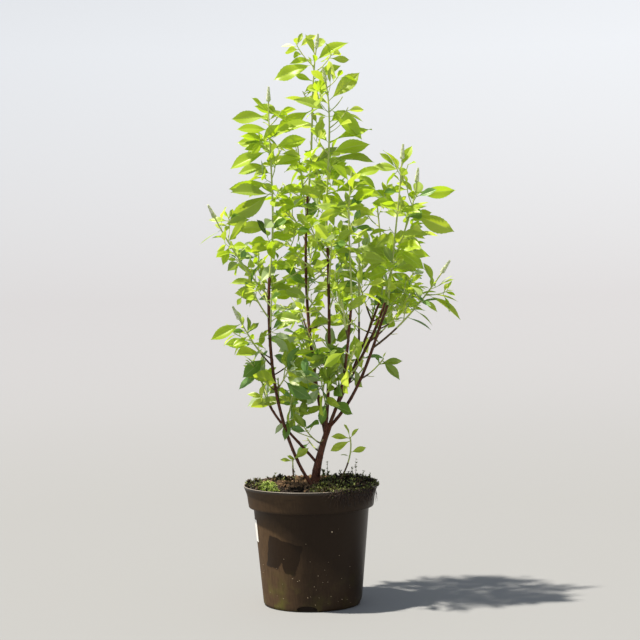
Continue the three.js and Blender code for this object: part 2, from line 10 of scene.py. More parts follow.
import bpy
import numpy as np
from mathutils import Matrix, Vector, noise


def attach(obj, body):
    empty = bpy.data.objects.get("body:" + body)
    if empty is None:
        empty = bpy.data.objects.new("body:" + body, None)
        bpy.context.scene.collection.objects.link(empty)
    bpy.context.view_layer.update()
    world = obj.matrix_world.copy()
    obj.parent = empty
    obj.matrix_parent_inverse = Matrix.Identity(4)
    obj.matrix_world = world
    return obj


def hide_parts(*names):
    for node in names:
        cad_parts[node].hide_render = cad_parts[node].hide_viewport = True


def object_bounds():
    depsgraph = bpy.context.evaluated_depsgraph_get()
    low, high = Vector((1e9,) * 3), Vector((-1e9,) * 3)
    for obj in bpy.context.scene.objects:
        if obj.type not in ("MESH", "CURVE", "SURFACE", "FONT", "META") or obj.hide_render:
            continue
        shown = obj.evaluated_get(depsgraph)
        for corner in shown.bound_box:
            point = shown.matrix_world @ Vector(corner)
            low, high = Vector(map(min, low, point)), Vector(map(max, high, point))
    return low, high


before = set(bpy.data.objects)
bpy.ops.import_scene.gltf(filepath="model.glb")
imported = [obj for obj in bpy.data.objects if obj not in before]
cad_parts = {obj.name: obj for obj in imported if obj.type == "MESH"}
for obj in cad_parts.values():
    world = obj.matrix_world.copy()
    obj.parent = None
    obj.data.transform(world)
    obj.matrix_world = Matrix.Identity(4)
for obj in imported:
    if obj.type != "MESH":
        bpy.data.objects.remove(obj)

CAD_BOX = [list(corner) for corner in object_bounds()]
MM = 0.001
print(len(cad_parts), "solids, box", CAD_BOX)

# %% [markdown]
# ## Colours, nodes and meshes
# A colour is written as the sRGB hex value that a paint card or a picture editor gives. The shaders
# reckon in linear light, so one function turns it. One more adds a node: each input takes either a
# plain value or another node's output. Shapes are worked out as whole arrays of points and faces,
# gathered in a pile, and become a mesh in one go, which stays quick for a hundred thousand faces.

# %% Colours and nodes
def linear(sheet_colour):
    """An sRGB hex colour as linear red, green, blue and alpha."""
    channels = [int(sheet_colour[start:start + 2], 16) / 255 for start in (1, 3, 5)]
    return (*[c / 12.92 if c <= 0.04045 else ((c + 0.055) / 1.055) ** 2.4 for c in channels], 1.0)


def add_node(tree, kind, inputs=(), **settings):
    """Adds a node with its settings. An input takes a value or the output it is linked to."""
    made = tree.nodes.new(kind)
    for name, value in settings.items():
        setattr(made, name, value)
    for name, value in dict(inputs).items():
        if isinstance(value, bpy.types.NodeSocket):
            tree.links.new(value, made.inputs[name])
        else:
            made.inputs[name].default_value = value
    return made


def start_material(name):
    material = bpy.data.materials.new(name)
    material.use_nodes = True
    material.node_tree.nodes.clear()
    return material, material.node_tree


def finish_material(tree, shader):
    add_node(tree, "ShaderNodeOutputMaterial", {"Surface": shader.outputs[0]})


print("middle grey in linear light is", round(linear("#808080")[0], 3))

# %% Piles and pieces
class Pile:
    """Points in millimetres and faces, gathered shape by shape, each face with its material's number."""

    def __init__(self):
        self.points = []
        self.faces = []
        self.count = 0

    def add(self, points, faces, slot=0):
        points = np.asarray(points, float).reshape(-1, 3)
        faces = np.asarray(faces, int)
        self.faces.append((faces + self.count, slot))
        self.points.append(points)
        self.count += len(points)


def add_piece(name, pile, materials, replaces=(), smooth=True):
    """Makes a pile into a piece of the model that rides on the plant and takes a finish."""
    mesh = bpy.data.meshes.new(name)
    points = np.concatenate(pile.points) * MM
    corners = np.concatenate([faces.ravel() for faces, _ in pile.faces])
    sizes = np.concatenate([np.full(len(faces), faces.shape[1]) for faces, _ in pile.faces])
    slots = np.concatenate([np.full(len(faces), number) for faces, number in pile.faces])
    mesh.vertices.add(len(points))
    mesh.vertices.foreach_set("co", points.ravel())
    mesh.loops.add(len(corners))
    mesh.loops.foreach_set("vertex_index", corners)
    mesh.polygons.add(len(sizes))
    mesh.polygons.foreach_set("loop_start", np.concatenate([[0], np.cumsum(sizes)[:-1]]))
    mesh.polygons.foreach_set("material_index", slots)
    mesh.polygons.foreach_set("use_smooth", np.full(len(sizes), smooth))
    mesh.update(calc_edges=True)
    for material in materials:
        mesh.materials.append(material)
    piece = bpy.data.objects.new(name, mesh)
    bpy.context.collection.objects.link(piece)
    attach(piece, "root")
    if replaces:
        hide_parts(*replaces)
    print(f"{name}: {len(points)} points, {int((sizes - 2).sum())} triangles")
    return piece


def sheet_faces(rows, columns, closed=False):
    """Four-cornered faces between rows of points. A closed sheet joins each row into a ring."""
    across = columns if closed else columns - 1
    row, column = np.meshgrid(np.arange(rows - 1), np.arange(across), indexing="ij")
    here = row * columns + column
    beside = row * columns + (column + 1) % columns
    return np.stack([here, beside, beside + columns, here + columns], -1).reshape(-1, 4)


print("four rings of eight points make", len(sheet_faces(4, 8, closed=True)), "faces")

# %% [markdown]
# ## The camera
# The pot's rim and foot are two circles of known size. Their ellipses in the picture fix where the
# camera stood: about 3.4 m away, a little above the middle of the shrub, looking 2 degrees down and
# rolled by not quite 1 degree. A long lens keeps the upright canes upright.

# %% Place the camera
CAMERA_PLACE = (0.02363, -3.37414, 0.69397)
CAMERA_DOWN = 2.139
CAMERA_ROLL = -0.9445
CAMERA_LENS = 95.06
camera = bpy.data.objects.new("camera", bpy.data.cameras.new("camera"))
bpy.context.collection.objects.link(camera)
camera.data.sensor_width = 36
camera.data.lens = CAMERA_LENS
camera.data.clip_end = 100
tilt = Matrix.Rotation(np.radians(90 - CAMERA_DOWN), 4, "X")
roll = Matrix.Rotation(np.radians(CAMERA_ROLL), 4, "Z")
camera.matrix_world = Matrix.Translation(CAMERA_PLACE) @ (tilt @ roll)
bpy.context.scene.camera = camera
print("camera at", CAMERA_PLACE)

# %% [markdown]
# ## Light and floor
# A photo studio for plants is a pale sweep of paper: the floor rises behind the pot with no edge.
# Here the sweep is a shallow bowl, so that it looks the same from every side. The sky of the world
# lights it softly, and one sun high on the left makes the upper leaves shine, lets the lower ones
# glow from behind and throws the slanting shadow of the pot's band on the wall under it. The paper's
# tint is painted light: by its distance from the pot it is a little warmer near by and cool and
# light far off, as a wall that has a lamp of its own.

# %% Set the lights
SKY = linear("#e9f0fb")
SKY_STRENGTH = 0.51
SUN_COLOUR = linear("#fff4e2")[:3]
SUN_STRENGTH = 8.4
SUN_SOFTNESS = np.radians(2.2)
SUN_FROM = Vector((-0.341, -0.079, 0.937))
FILL_STRENGTH = 4
FILL_SIZE = 1.8
FILL_FROM = Vector((-1.2, -2.8, 1.6))

world = bpy.data.worlds.new("pale sky")
world.use_nodes = True
world.node_tree.nodes["Background"].inputs["Color"].default_value = SKY
world.node_tree.nodes["Background"].inputs["Strength"].default_value = SKY_STRENGTH
bpy.context.scene.world = world

sun = bpy.data.objects.new("soft sun", bpy.data.lights.new("soft sun", "SUN"))
sun.data.color = SUN_COLOUR
sun.data.energy = SUN_STRENGTH
sun.data.angle = SUN_SOFTNESS
sun.rotation_mode = "QUATERNION"
sun.rotation_quaternion = SUN_FROM.to_track_quat("Z", "Y")
bpy.context.collection.objects.link(sun)

fill = bpy.data.objects.new("front fill", bpy.data.lights.new("front fill", "AREA"))
fill.data.energy = FILL_STRENGTH
fill.data.size = FILL_SIZE
fill.location = FILL_FROM
fill.rotation_mode = "QUATERNION"
fill.rotation_quaternion = FILL_FROM.to_track_quat("Z", "Y")
bpy.context.collection.objects.link(fill)

bpy.context.scene.view_settings.view_transform = "Standard"
print("sun of strength", SUN_STRENGTH, "from", [round(axis, 3) for axis in SUN_FROM])

# %% Sweep the floor
FLOOR_FLAT = 4000
FLOOR_REACH = 14000
FLOOR_RISE = 5000
FLOOR_CURVE = 2.2
FLOOR_RINGS = 40
FLOOR_SIDES = 64
PAPER_NEAR, PAPER_FAR = 1.5, 11.5
# the paper's tints by distance are painted light, lighter and cooler far off
PAPER_PAINTED_LIGHT = ((0.0, "#818488"), (0.58, "#888b93"), (1.0, "#989fab"))
floor_pile = Pile()
floor_radius = np.linspace(0, FLOOR_REACH, FLOOR_RINGS)
floor_rising = np.clip((floor_radius - FLOOR_FLAT) / (FLOOR_REACH - FLOOR_FLAT), 0, 1)
floor_lift = FLOOR_RISE * floor_rising ** FLOOR_CURVE
floor_turn = np.arange(FLOOR_SIDES) * 2 * np.pi / FLOOR_SIDES
floor_pile.add(
    np.stack([
        np.outer(floor_radius, np.cos(floor_turn)),
        np.outer(floor_radius, np.sin(floor_turn)),
        np.outer(floor_lift, np.ones(FLOOR_SIDES)),
    ], -1),
    sheet_faces(FLOOR_RINGS, FLOOR_SIDES, closed=True),
)
paper, tree = start_material("matt studio paper")
place = add_node(tree, "ShaderNodeTexCoord")
distance = add_node(tree, "ShaderNodeVectorMath", {0: place.outputs["Object"]}, operation="LENGTH")
share = add_node(tree, "ShaderNodeMapRange", {
    "Value": distance.outputs["Value"], "From Min": PAPER_NEAR, "From Max": PAPER_FAR,
})
tint = add_node(tree, "ShaderNodeValToRGB", {"Fac": share.outputs[0]})
tint.color_ramp.elements.new(PAPER_PAINTED_LIGHT[1][0])
for stop, (position, colour) in zip(tint.color_ramp.elements, PAPER_PAINTED_LIGHT):
    stop.position = position
    stop.color = linear(colour)
finish_material(tree, add_node(tree, "ShaderNodeBsdfPrincipled", {
    "Base Color": tint.outputs[0], "Roughness": 0.9, "Specular IOR Level": 0.2,
}))
floor = add_piece("floor", floor_pile, [paper])

# %% [markdown]
# ## Lines that grow
# Canes and stems are smooth lines through the air. A Bezier line needs only a foot, a tip and one or
# two bends between them, which is how one would sketch it. Along such a line two directions square to
# it carry the ring of a tube, or tell a leaf which way is out. A seeded draw gives the same "chance"
# in each run: the same rule and seeds that grew the solids' shoots grow them again here.

# %% Lines, directions and draws
def unit(vector):
    return vector / np.linalg.norm(vector, axis=-1, keepdims=True)


class Line:
    """A Bezier line from its control points, in millimetres."""

    NEAR = 0.0001

    def __init__(self, *points):
        self.points = np.array(points, float)
        steps = self.at(np.linspace(0, 1, 201))
        self.length = np.linalg.norm(np.diff(steps, axis=0), axis=1).sum()

    def at(self, t):
        t = np.asarray(t, float)[..., None]
        order = len(self.points) - 1
        shares = [comb(order, k) * (1 - t) ** (order - k) * t ** k for k in range(order + 1)]
        return sum(share * point for share, point in zip(shares, self.points))

    def heading(self, t):
        t = np.asarray(t, float)
        return unit(self.at(np.minimum(t + self.NEAR, 1)) - self.at(np.maximum(t - self.NEAR, 0)))

    def axes(self, t):
        """The heading and two directions square to it, held by the plane that the line rises in."""
        chord = self.points[-1] - self.points[0]
        heading = self.heading(t)
        side = np.broadcast_to((chord[1], -chord[0], 0.0), heading.shape)
        side = unit(side - (side * heading).sum(-1, keepdims=True) * heading)
        return heading, side, np.cross(heading, side)

    def outward(self, t, bearing, lift):
        """A direction that leaves the line on a bearing round it, lifted towards its tip."""
        heading, side, front = self.axes(t)
        out = side * np.cos(bearing) + front * np.sin(bearing)
        return unit(out * np.cos(lift) + heading * np.sin(lift))


def heading_of(bearing, rise):
    """The direction with a bearing from +X and a rise from level, in degrees."""
    bearing, rise = np.radians(bearing), np.radians(rise)
    return np.array([np.cos(rise) * np.cos(bearing), np.cos(rise) * np.sin(bearing), np.sin(rise)])


def between(span, share):
    return span[0] + (span[1] - span[0]) * share


def seeded_draws(seed):
    """A function that draws the same numbers from 0 to 1 each run."""
    state = seed

    def draw():
        nonlocal state
        state = state * 16807 % 2147483647
        return state / 2147483647

    return draw


print("straight up is", heading_of(0, 90).round(3), "and the first draw", seeded_draws(7)())

# %% [markdown]
# ## The trunk and its canes
# The old wood is a short trunk that forks at once into woody canes. Each is one tapering limb along
# its own line. Bark on wood this young is thin: fine lengthwise ridges, a swelling with a scar where
# each old leaf sat, and on the trunk deep furrows between strands that look like two stems pressed
# together. A displaced tube holds all of that as shape, which a bump map would lose at the outline.

# %% The limbs' lines
BURIED = 235
LIMBS = {
    "trunk": dict(
        line=((7, 9, BURIED), (13, 8, 285), (27, 9, 325), (41, 10, 361)), radii=(7.6, 5.8), flare=3.5,
    ),
    "left_cane": dict(
        line=((4, -13, BURIED), (-56, -15, 322), (-86, -38, 470), (-75, -30, 656)), radii=(3.2, 3),
    ),
    "crossing_cane": dict(
        line=((12, 8, 281), (-22, 8, 325), (-64, 0, 360), (-85, -6, 410)), radii=(2.9, 2.3),
    ),
    "right_inner_cane": dict(
        line=((41, 10, 361), (74, 34, 446), (131, 48, 517), (156, 54, 600)), radii=(3.5, 2.6),
    ),
    "right_cane": dict(
        line=((36, 9, 350), (102, -11, 413), (124, -30, 510), (158, -36, 597)), radii=(3.3, 2.6),
    ),
    "middle_cane": dict(
        line=((28, 8, 328), (43, -17, 420), (43, -20, 595), (41, -22, 713)), radii=(3.5, 2.7),
    ),
    "back_cane": dict(line=((31, 9, 336), (-3, 90, 505), (-11, 94, 667), (3, 97, 821)), radii=(3.8, 2.4)),
    "right_front_cane": dict(
        line=((37, 9, 352), (75, -43, 435), (76, -63, 523), (86, -74, 603)), radii=(3, 2.5),
    ),
    "right_back_cane": dict(
        line=((59, 22, 405), (87, 70, 455), (111, 92, 510), (150, 106, 607)), radii=(2.8, 2.3),
    ),
}
print(len(LIMBS), "limbs, the highest up to", max(limb["line"][-1][2] for limb in LIMBS.values()), "mm")

# %% [markdown]
# Summersweet bark is smooth and reddish brown while the wood is young, and the film of dead cells on
# it weathers to grey-brown in streaks along the grain. To the eye it is dark, dry and a little warm,
# with a soft sheen on the ridges and nearly black furrows.

# %% Young bark
def bark_material():
    material, tree = start_material("young bark, weathered by air")
    place = add_node(tree, "ShaderNodeTexCoord")
    # streaks 1.2 mm wide and some 12 mm long
    stretched = add_node(tree, "ShaderNodeMapping", {"Vector": place.outputs["Object"], "Scale": (1, 1, 0.1)})
    streaks = add_node(tree, "ShaderNodeTexNoise", {
        "Vector": stretched.outputs[0], "Scale": 1 / (1.2 * MM), "Detail": 6.0, "Roughness": 0.6,
    })
    # patches of weathering about 20 mm across
    patches = add_node(tree, "ShaderNodeTexNoise", {
        "Vector": place.outputs["Object"], "Scale": 1 / (20 * MM), "Detail": 3.0,
    })
    tint = add_node(tree, "ShaderNodeValToRGB", {"Fac": streaks.outputs[0]})
    tint.color_ramp.elements[0].position = 0.36
    tint.color_ramp.elements[0].color = linear("#1c0e08")
    tint.color_ramp.elements[1].position = 0.7
    tint.color_ramp.elements[1].color = linear("#7c4a37")
    grey = add_node(tree, "ShaderNodeMapRange", {
        "Value": patches.outputs[0], "From Min": 0.5, "From Max": 0.78, "To Min": 0.0, "To Max": 0.3,
    })
    colour = add_node(tree, "ShaderNodeMix", {
        0: grey.outputs[0], 6: tint.outputs[0], 7: linear("#6a5a46"),
    }, data_type="RGBA")
    grain = add_node(tree, "ShaderNodeBump", {
        "Height": streaks.outputs[0], "Strength": 0.6, "Distance": 0.4 * MM,
    })
    finish_material(tree, add_node(tree, "ShaderNodeBsdfPrincipled", {
        "Base Color": colour.outputs[2], "Roughness": 0.66, "IOR": 1.5, "Specular IOR Level": 0.25,
        "Normal": grain.outputs[0],
    }))
    return material


bark = bark_material()
print("material:", bark.name)

# %% [markdown]
# A limb's relief is a sum of slow waves. Some run round the limb and wander as they rise, which gives
# strands with furrows between them, and finer ones lie over them as ridges and knots. Every 27 mm
# the limb swells round the scar of an old leaf. The trunk is furrowed deeply and the canes hardly.

# %% A tube and its relief
NODE_STEP = 27
NODE_SWELL = 0.55
NODE_TURN = 2.4
SCAR_LENGTH = 2.2
FLARE_FADE = 12


def add_tube(pile, line, steps, sides, radius, slot=0):
    """Adds a closed tube. radius is a function of the place along it and the turn round it."""
    t = np.linspace(0, 1, steps + 1)
    turn = np.arange(sides) * 2 * np.pi / sides
    _, side, front = line.axes(t)
    rings = np.cos(turn)[:, None] * side[:, None] + np.sin(turn)[:, None] * front[:, None]
    reach = np.broadcast_to(radius(t[:, None], turn), (steps + 1, sides))
    points = line.at(t)[:, None] + reach[..., None] * rings
    pile.add(points, sheet_faces(steps + 1, sides, closed=True), slot)
    here = np.arange(sides)
    beside = np.roll(here, -1)
    for ring, first, second in ((points[0], beside, here), (points[-1], here, beside)):
        fan = np.stack([np.full(sides, sides), first, second], -1)
        pile.add(np.vstack([ring, ring.mean(0)]), fan, slot)


def bark_relief(line, radii, flare, rng, strand_count, furrow):
    """The radius of a limb at a place along it and a turn round it, ridges and scars included."""
    phases = rng.uniform(0, 2 * np.pi, 8)

    def radius(t, turn):
        along = t * line.length
        plain = between(radii, t) + flare * np.exp(-FLARE_FADE * t)
        # the strands drift to and fro in two slow waves
        drift = 0.9 * np.sin(along / 43 + phases[0]) + 0.5 * np.sin(along / 19 + phases[1])
        strands = np.abs(np.sin(strand_count / 2 * turn + drift + phases[2])) ** 0.6 - 0.7
        ridges = np.sin(5 * turn + along / 31 + phases[3]) + 0.6 * np.sin(8 * turn - along / 23 + phases[4])
        knots = np.sin(along / 11 + 2 * turn + phases[5]) * np.sin(along / 17 + phases[6])
        # each scar lies on the next side of the limb, as the old leaves did
        place = along / NODE_STEP
        off_node = (place - np.round(place)) * NODE_STEP
        scar_side = np.cos(turn - NODE_TURN * np.round(place) - phases[7])
        scars = NODE_SWELL * np.exp(-(off_node / SCAR_LENGTH) ** 2) * (0.5 + 0.5 * scar_side)
        rough = plain * (1 + furrow * strands + 0.035 * ridges + 0.03 * knots) + scars
        # the tip of a limb closes in a round end
        rest = np.clip((line.length - along) / plain, 0, 1)
        return rough * np.sqrt(np.clip(1 - (1 - rest) ** 2, 0.02, 1))

    return radius


print("leaf scars every", NODE_STEP, "mm")

# %% Grow the bark
BARK_SEED = 40
FURROWED = dict(strands=4, furrow=0.3, sides=40, ring_step=1.25)
SMOOTH = dict(strands=3, furrow=0.1, sides=20, ring_step=2.5)

for number, (name, limb) in enumerate(LIMBS.items()):
    wood = FURROWED if name == "trunk" else SMOOTH
    line = Line(*limb["line"])
    rng = np.random.default_rng(BARK_SEED + number)
    relief = bark_relief(line, limb["radii"], limb.get("flare", 0), rng, wood["strands"], wood["furrow"])
    pile = Pile()
    add_tube(pile, line, int(line.length / wood["ring_step"]), wood["sides"], relief)
    add_piece(f"{name}_bark", pile, [bark], replaces=[name])

# %% [markdown]
# ## How a shoot grows
# A leafy shoot is a stem, a few sprigs and a spiral of leaves: each leaf stands 137.5 degrees round
# from the last, which packs them so that none shades the next. The tables give each shoot's place
# and reach, and a few leaves one by one where they draw the crown's outline. Such a leaf is its place
# along the stem from 0 to 1, its bearing, its rise and its length, and now and then its roll: past 90
# degrees the face turns a little down, so that the light glows through it. The rule then grows the
# rest. After it, a second rule carries every stem to finer twigs: small side sprigs in the axils
# and a tuft of young leaves round each growing tip.

# %% The leaders
LEADERS = {
    "left_leader": dict(
        on="left_cane", line=((-57, -23, 782), (-73, -20, 900), (-71, -20, 1003)), sprigs=4,
        spike=True,
        leaves=((0.9, 176, 4, 70, 76), (0.82, 205, 6, 64), (0.73, 168, 10, 66), (0.7, 184, -20, 82),
                (0.61, 166, -8, 68), (0.51, 190, -6, 80, 112), (0.46, 178, -36, 92, 112),
                (0.95, 345, -30, 42)),
    ),
    "middle_leader": dict(
        on="middle_cane", line=((34, -31, 830), (60, -35, 947), (42, -36, 1040)), sprigs=4,
        spike=True, leaves=((0.86, 2, 42, 79, 80), (0.82, 352, -41, 86)),
        twigs=((0.95, 5, 44, 32), (0.79, 12, 48, 42)),
    ),
    "apex_leader": dict(
        on="back_cane", line=((17, 92, 915), (12, 82, 1030), (25, 82, 1119)), sprigs=3, spike=True,
        leaves=((0.9, 0, 34, 74), (0.88, 186, -14, 84), (0.91, 172, -3, 50)),
        twigs=((0.86, 180, 54, 64),),
    ),
    "right_leader": dict(
        on="right_cane", line=((170, -43, 702), (182, -50, 790), (190, -48, 884)), sprigs=3,
        spike=True,
        leaves=((0.92, 178, 13, 54), (0.94, 20, 66, 46), (0.46, 2, 4, 64), (0.38, 350, -36, 70)),
    ),
    "right_inner_leader": dict(
        on="right_inner_cane", line=((165, 55, 686), (212, 44, 752), (223, 40, 842)), sprigs=3,
        spike=True, leaves=((0.92, 2, -1, 77, 108), (0.76, 352, -24, 90, 110)),
    ),
    "right_back_leader": dict(
        on="right_back_cane", line=((160, 110, 655), (150, 124, 740), (146, 132, 800)), sprigs=2,
    ),
    "right_front_leader": dict(
        on="right_front_cane", line=((85, -85, 692), (78, -87, 783), (90, -86, 860)), sprigs=3,
        leaves=((0.96, 5, 12, 56), (0.86, 350, -10, 58)),
    ),
    "crossing_leader": dict(
        on="crossing_cane", line=((-91, -9, 425), (-94, -12, 440), (-95, -14, 462)),
        leaves=((0.1, 185, 12, 36),),
    ),
}
print(len(LEADERS), "leaders")

# %% The side shoots
SHOOTS = {
    "left_high_shoot": dict(
        on="left_cane", height=618, bearing=201, rise=55, reach=190, sprigs=2, spike=True,
        leaves=((0.88, 196, -28, 50, 8), (0.72, 212, -62, 40)),
    ),
    "left_upper_shoot": dict(on="left_cane", height=575, bearing=232, rise=50, reach=90, sprigs=1),
    "left_middle_shoot": dict(
        on="left_cane", height=479, bearing=206, rise=54, reach=118, sprigs=1, spike=True,
        leaves=((0.93, 187, -26, 64),),
    ),
    "left_low_shoot": dict(on="left_cane", height=447, bearing=217, rise=36, reach=72, sprigs=0),
    "left_inner_shoot": dict(
        on="left_cane", height=432, bearing=297, rise=36, reach=72, sprigs=1, leaf_size=0.95,
    ),
    "left_front_shoot": dict(on="left_cane", height=535, bearing=275, rise=45, reach=130, sprigs=2),
    "left_back_shoot": dict(on="left_cane", height=600, bearing=110, rise=52, reach=135, sprigs=2),
    "crossing_shoot": dict(
        on="crossing_cane", height=352, bearing=294, rise=62, reach=74, sprigs=1, leaf_size=0.95,
    ),
    "trunk_front_shoot": dict(
        on="trunk", height=318, bearing=240, rise=28, reach=76, sprigs=1, leaf_size=0.95,
    ),
    "trunk_back_shoot": dict(on="trunk", height=302, bearing=118, rise=22, reach=62, sprigs=0),
    "middle_low_shoot": dict(
        on="middle_cane", height=392, bearing=262, rise=38, reach=112, sprigs=2, leaf_size=0.95,
    ),
    "middle_front_shoot": dict(
        on="middle_cane", height=470, bearing=248, rise=36, reach=108, sprigs=2, leaf_size=0.95,
    ),
    "middle_left_shoot": dict(
        on="middle_cane", height=566, bearing=230, rise=38, reach=80, sprigs=1, leaf_size=0.95,
    ),
    "middle_right_shoot": dict(on="middle_cane", height=588, bearing=308, rise=66, reach=104, sprigs=1),
    "middle_high_shoot": dict(on="middle_cane", height=690, bearing=236, rise=48, reach=96, sprigs=1),
    "middle_crown_shoot": dict(on="middle_cane", height=640, bearing=275, rise=48, reach=135, sprigs=2),
    "back_low_shoot": dict(on="back_cane", height=430, bearing=112, rise=44, reach=130, sprigs=2),
    "back_left_shoot": dict(on="back_cane", height=531, bearing=122, rise=60, reach=136, sprigs=2),
    "back_right_shoot": dict(on="back_cane", height=586, bearing=20, rise=58, reach=78, sprigs=1),
    "back_outer_shoot": dict(on="back_cane", height=610, bearing=84, rise=48, reach=150, sprigs=2),
    "back_upper_shoot": dict(on="back_cane", height=672, bearing=150, rise=54, reach=100, sprigs=1),
    "back_high_shoot": dict(on="back_cane", height=740, bearing=160, rise=58, reach=122, sprigs=2),
    "back_dark_shoot": dict(on="back_cane", height=780, bearing=244, rise=76, reach=160, sprigs=2),
    "back_top_shoot": dict(on="back_cane", height=800, bearing=62, rise=58, reach=140, sprigs=2),
    "right_low_shoot": dict(
        on="right_cane", height=450, bearing=322, rise=36, reach=70, sprigs=0,
        leaves=((0.95, 335, -44, 48),),
    ),
    "right_branch": dict(
        on="right_cane", height=512, bearing=343, rise=46, reach=205, sprigs=2, spike=True,
        leaves=((0.78, 350, -30, 78, 10), (0.5, 340, -22, 50, 6)),
    ),
    "right_outer_shoot": dict(on="right_cane", height=575, bearing=350, rise=40, reach=92, sprigs=1),
    "right_inner_shoot": dict(
        on="right_inner_cane", height=520, bearing=30, rise=42, reach=120, sprigs=1,
    ),
    "right_upper_shoot": dict(
        on="right_inner_cane", height=575, bearing=12, rise=50, reach=110, sprigs=1,
    ),
    "right_back_shoot": dict(on="right_back_cane", height=505, bearing=70, rise=44, reach=140, sprigs=2),
    "right_back_upper_shoot": dict(
        on="right_back_cane", height=560, bearing=115, rise=56, reach=130, sprigs=1,
    ),
    "young_leader": dict(on="right_back_cane", height=492, bearing=272, rise=74, reach=250, sprigs=3),
    "front_low_shoot": dict(
        on="right_front_cane", height=455, bearing=285, rise=40, reach=105, sprigs=2, leaf_size=0.95,
    ),
    "front_shoot": dict(on="right_front_cane", height=530, bearing=262, rise=44, reach=118, sprigs=2),
}
print(len(SHOOTS), "side shoots")

# %% Two young shoots out of the compost
BASAL_SHOOTS = {
    "left_basal_shoot": dict(
        line=((-31, -24, BURIED), (-36, -25, 262), (-35, -26, 292)), leaf_size=0.4,
        leaves=((0.95, 183, 10, 24), (0.97, 8, 40, 38)),
    ),
    "right_basal_shoot": dict(
        line=((50, -16, BURIED), (88, -9, 290), (80, 2, 332)), leaf_size=0.5,
        leaves=((0.97, 193, 12, 36, 66), (0.96, 250, 52, 40), (0.92, 188, -24, 43, 62),
                (0.66, 8, 16, 32, 66), (0.58, 176, 16, 18, 10)),
    ),
}
print(len(BASAL_SHOOTS), "young shoots")

# %% [markdown]
# Each solid stands for a mass of leaves, and the photo shows more of them one by one than the solids
# need. These are listed as well: the ones that hang before the fork, and the ones that fill the
# outline on both sides of the leaders.

# %% More leaves, listed one by one
MORE_LEAVES = {
    "left_leader": ((0.8, 350, 12, 78), (0.7, 8, 20, 72), (0.6, 10, 24, 60), (0.08, 340, -12, 44),
                    (0.2, 20, 10, 42)),
    "middle_leader": ((0.6, 2, 26, 82, 38), (0.5, 355, 0, 84, 28), (0.76, 12, 10, 46),
                      (0.3, 354, 16, 80, 42)),
    "apex_leader": ((0.94, 190, 70, 46), (0.57, 188, -26, 84, 76)),
    "right_leader": ((0.68, 184, 4, 50),),
    "right_front_leader": ((0.98, 352, -28, 52),),
    "left_high_shoot": ((0.22, 186, 4, 50),),
    "left_middle_shoot": ((0.45, 60, 50, 42), (0.75, 80, 60, 38)),
    "left_low_shoot": ((0.6, 190, -32, 50),),
    "left_inner_shoot": ((0.95, 110, 55, 48), (0.9, 30, 35, 50), (0.97, 356, -14, 46)),
    "left_front_shoot": ((0.12, 352, -38, 48),),
    "left_back_shoot": ((0.15, 20, 14, 52),),
    "crossing_shoot": ((0.3, 190, -40, 34), (0.3, 10, 40, 36), (0.4, 262, -60, 44, 15), (0.97, 12, -6, 46)),
    "trunk_front_shoot": ((0.95, 172, 58, 42),),
    "trunk_back_shoot": ((0.8, 190, -38, 36),),
    "middle_low_shoot": ((0.3, 240, -62, 46, 18), (0.5, 305, -20, 44), (0.8, 190, -52, 46),
                         (0.12, 200, -12, 44, 35)),
    "right_branch": ((0.6, 350, -35, 44, 10),),
    "right_low_shoot": ((0.8, 350, 16, 44, 40),),
}
print(sum(map(len, MORE_LEAVES.values())), "more leaves by hand on", len(MORE_LEAVES), "shoots")

# %% [markdown]
# ## The growth rule
# Every bud on the shrub does the same: a stem first, then sprigs, then leaves in a spiral, the
# largest at the middle of the stem. The points of the solids could be read instead, but a rule can be
# carried on to finer twigs. This one is the rule that grew the solids, with the same seeds and the
# same order of draws, so its leaves stand where theirs do. The blades are slimmer here and turned
# more on edge than the solids' plain plates, as the real ones are.

# %% Leaves along a stem
LEAF_LENGTH = 76
BLADE_WIDTH = 0.37
FIRST_LEAF = 0.7
SPIRAL = 137.5
SPIRAL_SPREAD = (-12, 12)
LEAF_LIFT = (6, 42)
LIFT_SPREAD = (-9, 9)
LEAF_SAG = 0.3
SMALLEST_LEAF = 0.62
LEAF_SWELL = 0.42
SWELL_SPAN = (0.15, 1)
LENGTH_SPREAD = (0.84, 1.16)
WIDTH_SPREAD = (0.9, 1.1)
LEAF_ROLL = (24, 78)
LEAF_DROOP = (0.05, 0.18)


def leaf_row(line, t, heading, roll, length, droop, spread=1.0):
    """One leaf: where it stands, where it heads, its roll, its size and how far its tip droops."""
    width = length * BLADE_WIDTH * spread
    return dict(foot=line.at(t), heading=heading, roll=roll, length=length, width=width, droop=droop)


def leaves_on(line, draw, bare, internode, scale):
    """Leaves in a spiral from the bare foot of a stem to its tip, in the solids' order of draws."""
    count = max(2, round(line.length * (1 - bare) / internode))
    leaves = []
    bearing = draw() * 2 * np.pi
    for index in range(count):
        t = between((bare, 1), (index + FIRST_LEAF) / count)
        lift = between(LEAF_LIFT, t) + between(LIFT_SPREAD, draw())
        heading = line.outward(t, bearing, np.radians(lift))
        heading = unit(heading - np.array([0, 0, LEAF_SAG * (1 - t)]))
        swell = SMALLEST_LEAF + LEAF_SWELL * np.sin(np.pi * between(SWELL_SPAN, t))
        length = LEAF_LENGTH * scale * swell * between(LENGTH_SPREAD, draw())
        turned = -1 if draw() < 0.5 else 1
        roll = turned * np.radians(between(LEAF_ROLL, draw()))
        spread = between(WIDTH_SPREAD, draw())
        leaves.append(leaf_row(line, t, heading, roll, length, between(LEAF_DROOP, draw()), spread))
        bearing += np.radians(SPIRAL + between(SPIRAL_SPREAD, draw()))
    return leaves


longest = LEAF_LENGTH * (SMALLEST_LEAF + LEAF_SWELL) * LENGTH_SPREAD[1]
print("the longest leaf by rule is", round(longest), "mm")

# %% Leaves listed one by one
OUTLINE_ROLL = 60
OUTLINE_SPREAD = 0.95
OUTLINE_STRETCH = 1.07
OUTLINE_DROOP = 0.1


